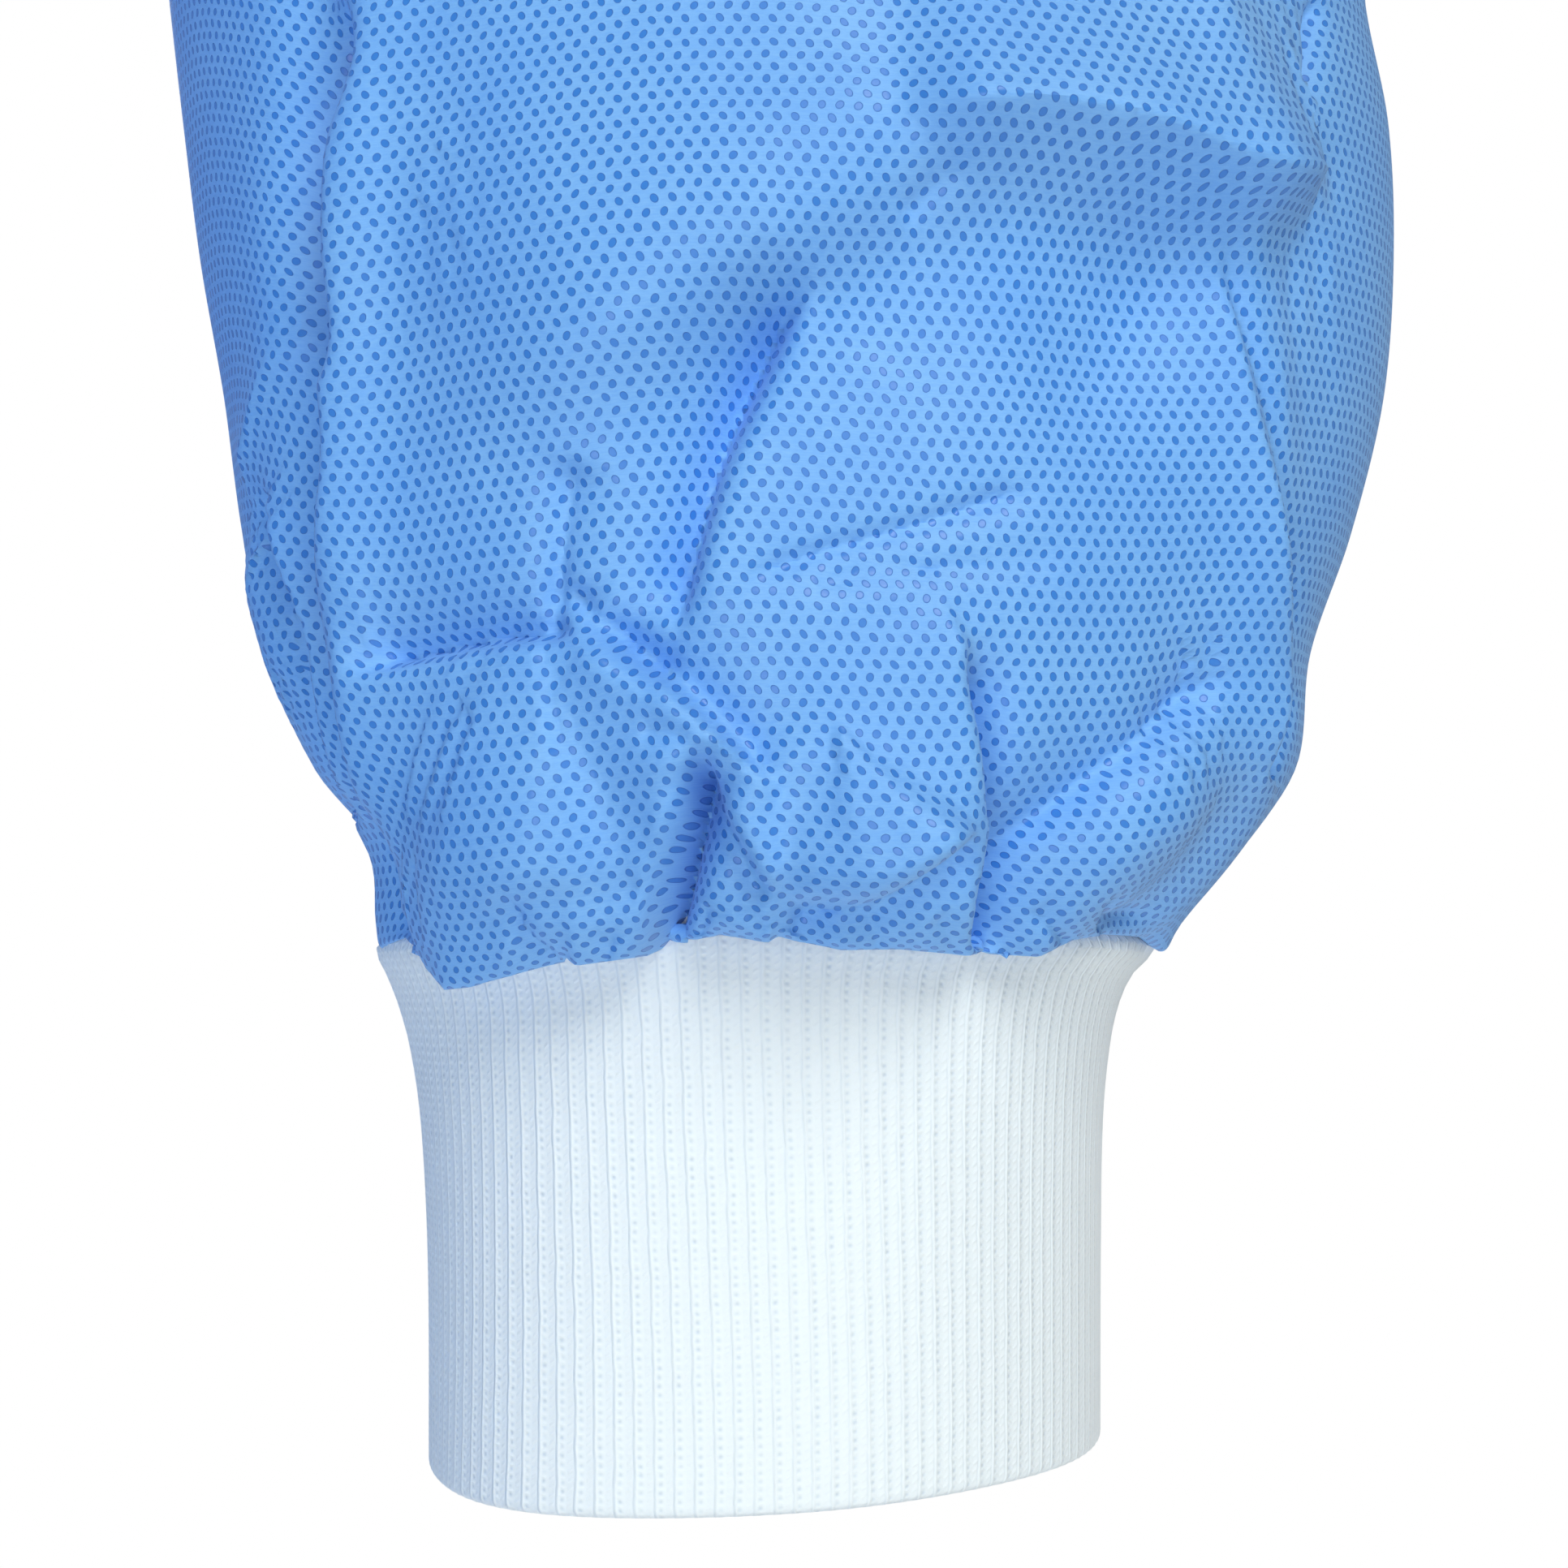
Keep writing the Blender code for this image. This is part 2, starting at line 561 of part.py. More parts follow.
def neck_vertex(row, half, side, point):
    """A neck-edge vertex of the body, mitred against the collar."""
    neck = NECK[half]
    turn = math.pi / 2 * (row - neck.first_row) / (SHOULDER_ROW - neck.first_row)
    turn = turn if half == "front" else math.pi - turn
    _, collar_out = collar_rise(turn)
    normal = seam_normal(0, row, side) if row == SHOULDER_ROW else body_normal(0, row, half, side)
    low, high = max(row - BODY_PROBE, neck.first_row), min(row + BODY_PROBE, SHOULDER_ROW)
    run = centre_edge(high, half) - centre_edge(low, half)
    if row == neck.first_row:
        run = Vector((1, 0, 0))
    if side < 0:
        run, collar_out = mirror_x(run), mirror_x(collar_out)
    inward = body_point(INWARD_PROBE, row, half, side) - body_point(0, row, half, side)
    if row == neck.first_row:
        inward = Vector((0, 0, -1))
    point, direction = mitred(point, run, normal, collar_out, inward)
    if row == SHOULDER_ROW:
        point.y = FACING[half] * SEAM_GAP / 2
    return point, direction


def placket_step(row):
    """How far the under front is stepped in at the placket, fading out up the neck edge."""
    above = max(row - NECK["front"].first_row, 0)
    return PLACKET_STEP * max(1 - above / PLACKET_STEP_FADE_ROWS, 0)


def front_panel(side):
    """A front, from the far edge of its placket to the side; side 1 laps over side -1."""
    panel = Panel()
    neck_row = NECK["front"].first_row
    columns = [-1, 0, 1] + [2 + i for i in range(len(FRONT_COLUMNS))]
    for row in range(SHOULDER_ROW + 1):
        edge_u = near_edge_u(row, "front", side, PLACKET_HALF_WIDTH)
        for column in columns:
            if column == -1 and row > neck_row:
                continue
            if column >= 2:
                u = mix(edge_u, 1.0, FRONT_COLUMNS[column - 2])
            else:
                u = edge_u * abs(column)
            u = min(u, 1.0)
            point, direction = edge_vertex(u, row, "front", side)
            if column == 0 and row >= neck_row:
                point, direction = neck_vertex(row, "front", side, body_point(0, row, "front", side))
            if column == -1:
                point, direction = mirror_x(point), mirror_x(direction)
            if side < 0 and column <= 2:
                under = placket_step(row) * (PLACKET_STEP_BESIDE if column == 2 else 1.0)
                point = point - body_normal(u, row, "front", side) * under
            panel.add((column, row), point, direction)
    for row in range(SHOULDER_ROW):
        for column in columns[:-1]:
            if column == -1 and row + 1 > neck_row:
                continue
            keys = [(column, row), (column + 1, row), (column + 1, row + 1), (column, row + 1)]
            panel.quad(keys, flip=side < 0)
    return panel


def back_panel():
    """The back in one piece, both halves welded along the centre below the neck."""
    panel = Panel()
    neck_row = NECK["back"].first_row
    columns = [0] + list(range(1, len(BACK_COLUMNS) + 1))

    def key(column, row, side):
        return (column * side, row, 0 if column == 0 and row <= neck_row else side)

    for side in (1, -1):
        for row in range(SHOULDER_ROW + 1):
            for column in columns:
                u = 0.0 if column == 0 else BACK_COLUMNS[column - 1]
                point, direction = edge_vertex(u, row, "back", side)
                if column == 0 and row >= neck_row:
                    point, direction = neck_vertex(row, "back", side, point)
                if column == 0 and row <= neck_row:
                    point.x = 0
                    direction = Vector((0, direction.y, direction.z))
                panel.add(key(column, row, side), point, direction)
        for row in range(SHOULDER_ROW):
            for column in columns[:-1]:
                keys = [key(column, row, side), key(column + 1, row, side),
                        key(column + 1, row + 1, side), key(column, row + 1, side)]
                panel.quad(keys, flip=side > 0)
    return panel


def ring_angles():
    return [2 * math.pi * k / DIVISIONS for k in range(DIVISIONS)]


def tube_quads(ring_count, flip):
    quads = []
    for ring in range(ring_count - 1):
        for k in range(DIVISIONS):
            beside = (k + 1) % DIVISIONS
            quad = (ring * DIVISIONS + k, ring * DIVISIONS + beside,
                    (ring + 1) * DIVISIONS + beside, (ring + 1) * DIVISIONS + k)
            quads.append(tuple(reversed(quad)) if flip else quad)
    return quads


def armhole_vertex(k):
    """A vertex of the sleeve's top edge, mitred against the body; k is even."""
    angle = 2 * math.pi * k / DIVISIONS
    half = "front" if k <= DIVISIONS // 2 else "back"
    turn = abs(math.pi - angle)
    row = UNDERARM_ROW + turn / math.pi * (SHOULDER_ROW - UNDERARM_ROW)
    at_seam = k % (DIVISIONS // 2) == 0
    body_out = seam_normal(1, row, 1) if at_seam else body_normal(1, row, half, 1)
    run = sleeve_point(angle + SEAM_PROBE, 0) - sleeve_point(angle - SEAM_PROBE, 0)
    point = sleeve_point(angle, 0)
    inward = sleeve_point(angle, ARMHOLE_PROBE) - point
    point, direction = mitred(point, run, sleeve_normal(angle, 0), body_out, inward)
    if at_seam:
        direction = Vector((direction.x, 0, direction.z))
    return point, direction


def cuff_seam_vertex(angle, is_cuff):
    """A vertex of the seam between sleeve and cuff, mitred for one of the two."""
    sleeve_out = sleeve_normal(angle, SLEEVE_LENGTH - SLEEVE_END_PROBE)
    round_it = cuff_point(angle + SEAM_PROBE, 0) - cuff_point(angle - SEAM_PROBE, 0)
    down_it = cuff_point(angle, CUFF_PROBE) - cuff_point(angle, 0)
    cuff_out = round_it.cross(down_it).normalized()
    point = cuff_point(angle, 0)
    if is_cuff:
        return mitred(point, round_it, cuff_out, sleeve_out, down_it)
    inward = sleeve_point(angle, SLEEVE_LENGTH - INWARD_END_PROBE) - point
    return mitred(point, round_it, sleeve_out, cuff_out, inward)


def tube(name, points, directions, side, thickness, finish):
    if side < 0:
        points = [mirror_x(p) for p in points]
        directions = [mirror_x(d) for d in directions]
    quads = tube_quads(len(points) // DIVISIONS, flip=side < 0)
    return wall(name, points, quads, directions, thickness, finish)


def make_sleeve(name, side):
    even = {k: armhole_vertex(k) for k in range(0, DIVISIONS, 2)}
    top = []
    for k in range(DIVISIONS):
        if k % 2 == 0:
            top.append(even[k])
        else:
            before, after = even[k - 1], even[(k + 1) % DIVISIONS]
            top.append(((before[0] + after[0]) / 2, (before[1] + after[1]) / 2))
    points, directions = [p for p, _ in top], [d for _, d in top]
    for down in SOLID_RINGS[1:-1]:
        for angle in ring_angles():
            points.append(sleeve_point(angle, down))
            directions.append(sleeve_normal(angle, down))
    for angle in ring_angles():
        point, direction = cuff_seam_vertex(angle, is_cuff=False)
        points.append(point)
        directions.append(direction)
    return tube(name, points, directions, side, CLOTH_WALL, "non_woven_cloth")


def make_cuff(name, side):
    points, directions = [], []
    for ring in CUFF:
        for angle in ring_angles():
            if ring.fall == 0:
                point, direction = cuff_seam_vertex(angle, is_cuff=True)
            else:
                point = cuff_point(angle, ring.fall)
                direction = Vector((math.cos(angle) * ring.front, -math.sin(angle) * ring.wide, 0))
                direction.normalize()
            points.append(point)
            directions.append(direction)
    return tube(name, points, directions, side, KNIT_WALL, "knit")


def neck_ring():
    """The places of the neck edge, from the left front round the back to the right front."""
    front_rows = range(NECK["front"].first_row, SHOULDER_ROW + 1)
    back_rows = range(SHOULDER_ROW - 1, NECK["back"].first_row - 1, -1)
    ring = []
    for side in (1, -1):
        half_ring = []
        step = 90 / (SHOULDER_ROW - NECK["front"].first_row)
        for i, row in enumerate(front_rows):
            half_ring.append(NeckPlace(side, i * step, centre_edge(row, "front"), "front", row))
        step = 90 / (SHOULDER_ROW - NECK["back"].first_row)
        for i, row in enumerate(back_rows):
            half_ring.append(
                NeckPlace(side, 90 + (i + 1) * step, centre_edge(row, "back"), "back", row))
        first, second = half_ring[0], half_ring[1]
        half_ring[0] = first._replace(
            degrees=mix(first.degrees, second.degrees, COLLAR_END_SHARE),
            point=mix(first.point, second.point, COLLAR_END_SHARE),
            row=mix(first.row, second.row, COLLAR_END_SHARE))
        if side < 0:
            mirrored = [place._replace(point=mirror_x(place.point)) for place in half_ring]
            half_ring = mirrored[-2::-1]
        ring += half_ring
    return ring


def collar_base(ring, i):
    """The collar's seam edge at a place of the neck ring."""
    side, degrees, neck, half, row = ring[i]
    rise, outward = collar_rise(math.radians(degrees))
    run = ring[min(i + 1, len(ring) - 1)].point - ring[max(i - 1, 0)].point
    if side < 0:
        rise, outward = mirror_x(rise), mirror_x(outward)
    if degrees == 180:
        rise.x, outward.x = 0, 0
    is_shoulder = row == SHOULDER_ROW
    body_out = seam_normal(0, row, side) if is_shoulder else body_normal(0, row, half, side)
    if side < 0 and half == "front":
        neck = neck - body_out * placket_step(row)
    base, direction = mitred(neck, run, outward, body_out, rise)
    return CollarBase(degrees, side, base, direction, outward, rise, run)


def make_collar(body_surface):
    ring = neck_ring()
    seam = [collar_base(ring, i) for i in range(len(ring))]
    bases = [seam[0]]
    for before, after in zip(seam, seam[1:]):
        side = before.side if before.side == after.side else 1
        halves = [(getattr(before, part) + getattr(after, part)) / 2
                  for part in ("degrees", "point", "direction", "outward", "rise", "run")]
        degrees, point, direction, outward, rise, run = halves
        bases += [CollarBase(degrees, side, point, direction, outward.normalized(),
                             rise.normalized(), run), after]
    points, directions = [], []
    for base in bases:
        out = base.outward
        top_in = base.point + base.rise * along(COLLAR, base.degrees, "stand")
        apex = top_in + out * COLLAR_FOLD_WIDTH / 2 + Vector((0, 0, COLLAR_FOLD_RISE))
        top_out = top_in + out * COLLAR_FOLD_WIDTH
        edge, edge_out = collar_edge(body_surface, top_out, base)
        middle = mix(top_out, edge, 0.5) + (out + edge_out).normalized() * COLLAR_ROUNDNESS
        fall_out = (edge - top_out).cross(base.run).normalized()
        if fall_out.dot(out + edge_out) < 0:
            fall_out.negate()
        under = Vector((0, 0, -1))
        profile = (
            (base.point, base.direction),
            (mix(base.point, top_in, COLLAR_STAND_BREAK), out),
            (top_in, (out + under).normalized()),
            (apex, under),
            (top_out, (under * COLLAR_TUCK - out).normalized()),
            (middle, -fall_out),
            (edge, -edge_out),
        )
        points += [p for p, _ in profile]
        directions += [d for _, d in profile]
    rows = len(profile)
    quads = []
    for i in range(len(bases) - 1):
        for j in range(rows - 1):
            here, beside = i * rows + j, (i + 1) * rows + j
            quads.append((here, beside, beside + 1, here + 1))
    return wall("collar", points, quads, directions, CLOTH_WALL, "non_woven_cloth")


def collar_edge(body_surface, top, base):
    """Where the collar's outer edge lies over the body, the fall's length from its fold."""
    fall = along(COLLAR, base.degrees, "fall")
    swing = along(COLLAR, base.degrees, "swing") * base.side
    low, high = 0.0, fall
    best = None
    for _ in range(HALVINGS):
        reach = (low + high) / 2
        over = top + base.outward * reach + Vector((swing, 0, 0))
        above = Vector((over.x, over.y + SEAM_GAP, ABOVE_Z))
        hit, normal, _, _ = body_surface.ray_cast(above, Vector((0, 0, -1)))
        if hit is None:
            high = reach
            continue
        if normal.z < 0:
            normal.negate()
        best = (hit + normal * COLLAR_CLEARANCE, normal)
        if (best[0] - top).length < fall:
            low = reach
        else:
            high = reach
    return best


def make_snap(name, height, front_surface):
    hit, normal, _, _ = front_surface.ray_cast(Vector((0, BEFORE_Y, height)), Vector((0, 1, 0)))
    if normal.y > 0:
        normal.negate()
    across = Vector((1, 0, 0))
    up = normal.cross(across).normalized()
    base = hit + normal * (CLOTH_WALL / 2 + SEAM_GAP)
    points = []
    for ring in SNAP_CAP:
        for k in range(SNAP_SEGMENTS):
            angle = 2 * math.pi * k / SNAP_SEGMENTS
            radial = across * math.cos(angle) + up * math.sin(angle)
            points.append(base + radial * ring.radius + normal * ring.lift)
    count, last = SNAP_SEGMENTS, len(SNAP_CAP) - 1
    outward_is_left = across.cross(up).dot(normal) > 0
    faces = [tuple(reversed(range(count))), tuple(last * count + k for k in range(count))]
    for ring in range(last):
        for k in range(count):
            beside = (k + 1) % count
            faces.append((ring * count + k, ring * count + beside,
                          (ring + 1) * count + beside, (ring + 1) * count + k))
    if not outward_is_left:
        faces = [tuple(reversed(face)) for face in faces]
    return solid(name, points, faces, "snap_plastic", sharp_degrees=50)


def main():
    for old in list(bpy.data.objects):
        bpy.data.objects.remove(old)
    root = bpy.data.objects.new("lab_jacket", None)
    bpy.context.collection.objects.link(root)

    panels = {"front_left": front_panel(1), "front_right": front_panel(-1), "back": back_panel()}
    for name, panel in panels.items():
        wall(name, panel.points, panel.quads, panel.directions, CLOTH_WALL, "non_woven_cloth")
    for name, side in (("left", 1), ("right", -1)):
        make_sleeve("sleeve_" + name, side)
        make_cuff("cuff_" + name, side)

    body_points, body_faces = [], []
    for panel in panels.values():
        body_faces += [tuple(i + len(body_points) for i in face)
                       for face in triangles(panel.points, panel.quads)]
        body_points += panel.points
    make_collar(BVHTree.FromPolygons(body_points, body_faces))
    left = panels["front_left"]
    left_surface = BVHTree.FromPolygons(left.points, triangles(left.points, left.quads))
    for number, height in enumerate(SNAP_HEIGHTS, start=1):
        make_snap(f"snap_{number}", height, left_surface)


main()
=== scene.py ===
"""Disposable lab jacket of blue non-woven cloth, with a snap front and white rib-knit cuffs."""

import math
from collections import namedtuple

import bmesh
import bpy
import numpy as np
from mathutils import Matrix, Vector
from mathutils.bvhtree import BVHTree


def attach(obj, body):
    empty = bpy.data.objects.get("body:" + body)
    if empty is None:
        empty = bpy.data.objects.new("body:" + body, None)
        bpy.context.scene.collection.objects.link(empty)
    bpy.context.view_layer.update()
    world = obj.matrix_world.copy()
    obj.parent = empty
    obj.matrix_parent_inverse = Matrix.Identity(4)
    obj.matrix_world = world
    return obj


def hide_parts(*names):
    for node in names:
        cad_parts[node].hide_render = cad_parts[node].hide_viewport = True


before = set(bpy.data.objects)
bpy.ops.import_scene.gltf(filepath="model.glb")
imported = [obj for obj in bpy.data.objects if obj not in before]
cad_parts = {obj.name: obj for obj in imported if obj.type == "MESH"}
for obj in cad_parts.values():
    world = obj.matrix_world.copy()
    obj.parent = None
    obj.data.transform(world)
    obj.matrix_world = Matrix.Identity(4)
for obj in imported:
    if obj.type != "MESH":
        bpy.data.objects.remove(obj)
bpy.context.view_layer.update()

# Sleeves
# Set-in sleeves of spunbond-meltblown cloth, cut in one piece with the seam under the arm, and
# gathered into the cuffs. Their creases come from wearing and from lying packed flat.

CLOTH = 0.0005
CUFF_SEAM_Z = -0.5505
WRIST_X, WRIST_Y = 0.410, -0.015
SLEEVE_LENGTH = 0.469


def table(columns, *rows):
    """Rows of values, each value under the name of its column."""
    row_of = namedtuple("Row", columns)
    return tuple(row_of(*row) for row in rows)


SLEEVE = table(
    "down x y z tilt outer inner front back gather sag",
    (0.0000, 0.2365, 0.000, -0.1600, 94.5, 0.1083, 0.1083, 0.068, 0.068, 0, 0),
    (0.0260, 0.2620, 0.000, -0.1660, 85, 0.104, 0.104, 0.070, 0.070, 0, 0),
    (0.0540, 0.2870, 0.001, -0.1810, 72, 0.099, 0.099, 0.072, 0.071, 0, 0),
    (0.0860, 0.3130, 0.002, -0.2020, 60, 0.095, 0.095, 0.072, 0.071, 0, 0),
    (0.1220, 0.3370, 0.003, -0.2290, 48, 0.091, 0.091, 0.071, 0.070, 0, 0),
    (0.1580, 0.3580, 0.003, -0.2580, 36, 0.087, 0.087, 0.069, 0.068, 0, 0),
    (0.1950, 0.3760, 0.002, -0.2900, 25, 0.084, 0.084, 0.067, 0.066, 0, 0),
    (0.2330, 0.3910, 0.000, -0.3250, 15, 0.080, 0.080, 0.064, 0.063, 0, 0),
    (0.2720, 0.4020, -0.003, -0.3620, 7, 0.076, 0.076, 0.061, 0.059, 0, 0),
    (0.3110, 0.4080, -0.008, -0.4000, 2, 0.0722, 0.0735, 0.058, 0.056, 0, 0),
    (0.3480, 0.4100, -0.012, -0.4370, 0, 0.0714, 0.0712, 0.057, 0.054, 0, 0),
    (0.3645, WRIST_X, -0.014, -0.4535, 0, 0.0740, 0.0690, 0.057, 0.054, 0, 0),
    (0.3805, WRIST_X, WRIST_Y, -0.4695, 0, 0.0744, 0.0668, 0.058, 0.055, 0.1, 0),
    (0.3965, WRIST_X, WRIST_Y, -0.4855, 0, 0.0732, 0.0640, 0.058, 0.055, 0.3, 0),
    (0.4125, WRIST_X, WRIST_Y, -0.5015, 0, 0.0693, 0.0618, 0.0585, 0.0555, 0.6, 0),
    (0.4265, WRIST_X, WRIST_Y, -0.5155, 0, 0.0645, 0.0587, 0.0595, 0.0560, 0.9, 0),
    (0.4395, WRIST_X, WRIST_Y, -0.5285, 0, 0.0628, 0.0535, 0.0595, 0.0555, 1, 0.1),
    (0.4495, WRIST_X, WRIST_Y, -0.5385, 0, 0.0568, 0.0470, 0.0575, 0.0530, 1, 0.3),
    (0.4575, WRIST_X, WRIST_Y, -0.5460, 0, 0.0502, 0.0460, 0.0525, 0.0490, 0.7, 0.7),
    (0.4635, WRIST_X, WRIST_Y, -0.5488, 0, 0.0464, 0.0450, 0.0462, 0.0444, 0, 1),
    (0.4690, WRIST_X, WRIST_Y, -0.5484, 0, 0.0442, 0.0434, 0.0412, 0.0400, 0, 0.5),
)
ARMHOLE_BOW, ARMHOLE_BOW_FADE = 0.018, 0.03
CUFF_SEAM_LIFT, SEAM_LIFT_FADE = 0.0030, 0.03

# Gathers above the cuff seam. Their place round the sleeve is in 56ths of a turn, from the outer
# side through the front.
PLACES = 56
GATHERS = table(
    "place depth spread reach",
    (1, 0.0030, 1.2, 0.024), (5, 0.0034, 1.2, 0.028), (9, 0.0044, 1.2, 0.046),
    (13, 0.0034, 1.1, 0.024), (17, 0.0046, 1.1, 0.036), (20, 0.0016, 0.9, 0.012),
    (24, 0.0040, 1.2, 0.030), (28, 0.0026, 1.2, 0.026), (32, 0.0036, 1.3, 0.040),
    (36, 0.0042, 1.2, 0.030), (40, 0.0034, 1.2, 0.048), (44, 0.0044, 1.2, 0.034),
    (48, 0.0036, 1.2, 0.026), (52, 0.0040, 1.3, 0.040),
)
# How far the turned-under lower edge hangs, in millimetres, by its place round the sleeve
LOWER_EDGE = table(
    "place fall",
    (0, 1.0), (1.6, 2.0), (3.0, 0.4), (5.4, 0.2), (6.9, 1.0), (7.9, 2.8), (8.9, 2.6), (9.3, 2.0),
    (9.8, 2.7), (11.2, 2.1), (12.4, 2.2), (13.3, 1.3), (13.7, 0.7), (13.9, 1.4), (14.9, 0.6),
    (15.5, 1.2), (16.3, 1.1), (16.6, 2.9), (17.8, 3.7), (18.1, 2.9), (19.3, 4.8), (20.3, 6.0),
    (21.0, 6.3), (22.4, 2.6), (23.1, 2.4), (23.6, 1.4), (24.2, 0.5), (26.0, 1.6), (28.0, 0.8),
    (30.0, 2.4), (32.0, 1.0), (34.5, 3.0), (36.5, 0.8), (39.0, 2.2), (41.0, 1.2), (43.0, 3.2),
    (45.5, 1.0), (47.5, 2.0), (50.0, 2.6), (52.0, 0.9), (54.0, 2.0), (56, 1.0),
)
EDGE_STAND_OFF = 0.5

# The two edges pressed in when the jacket was packed flat, by their rise above the cuff seam
PRESSED_EDGE = table(
    "rise inner_angle outer_angle strength",
    (0.000, 147, 22, 0.1), (0.017, 144, 24, 0.5), (0.033, 138, 33, 0.7), (0.050, 136, 39, 0.9),
    (0.085, 130, 48, 1.0), (0.113, 126, 52, 0.9), (0.150, 124, 54, 0.4), (0.200, 124, 54, 0.0),
)
INNER_RIDGE, INNER_FOLD, INNER_FOLD_ANGLE = 0.0026, 0.0030, 7.0
OUTER_RIDGE, RIDGE_SPREAD = 0.0024, 5.0

# Soft folds of the sleeve end, in millimetres as seen from the front: across from the wrist's
# middle towards the outer side, and the rise above the cuff seam. height is a ridge or, below
# nought, a trough, and left and right are how far it spreads on either side of its run.
CREASE = "height left right path"
SLEEVE_END_FOLDS = table(
    CREASE,
    # the level fold at the top and the hollow under it
    (4.6, 20, 8, ((-3.3, 90.2), (5.1, 90.3), (15.1, 89.1), (21.9, 88.8), (29.6, 88.9), (38.4, 87.5),
     (45.8, 84.8), (55.3, 85.4), (61.2, 87.5))),
    (-2.4, 6, 14, ((20.1, 79.5), (30.2, 78.8), (38.9, 77.0), (46.1, 76.7), (55.6, 78.6),
     (66.5, 83.5))),
    (-2.2, 9, 9, ((46.2, 85.3), (43.4, 76.5), (39.4, 67.7), (32.8, 58.9), (27.6, 52.9))),
    # the long slanting ridge and the valley beside it
    (6.2, 9, 26, ((25.3, 90.0), (17.6, 85.5), (10.1, 81.5), (2.6, 77.2), (-6.6, 71.8),
     (-14.9, 67.0), (-23.5, 63.2), (-32.1, 60.1), (-39.3, 58.8))),
    (-3.4, 12, 8, ((29.4, 80.6), (21.7, 77.0), (9.2, 71.1), (0.1, 65.9), (-7.4, 60.3),
     (-13.3, 54.9), (-17.5, 50.4))),
    # the puffs above the seam
    (4.5, 16, 8, ((-39.4, 16.8), (-32.7, 13.4), (-25.5, 11.6), (-18.6, 11.8), (-12.6, 14.4))),
    (4.2, 14, 4, ((0.9, 11.7), (6.0, 10.2), (10.2, 10.3), (14.4, 12.1), (18.6, 15.2),
     (22.0, 20.3))),
    (2.7, 12, 7, ((27.7, 9.9), (35.6, 11.6), (43.7, 15.9), (51.5, 22.1))),
    (2.1, 8, 8, ((-59.4, 50.0), (-56.3, 38.8), (-52.6, 27.7))),
)
# The front of the sleeve end has these folds and the creases below as they are. At the back they
# lie further up, stand less and are softer.
END_SIDES = table("sign share rise soft", (1, 1, 0.0, 1.0), (-1, 0.8, 0.009, 2.4))

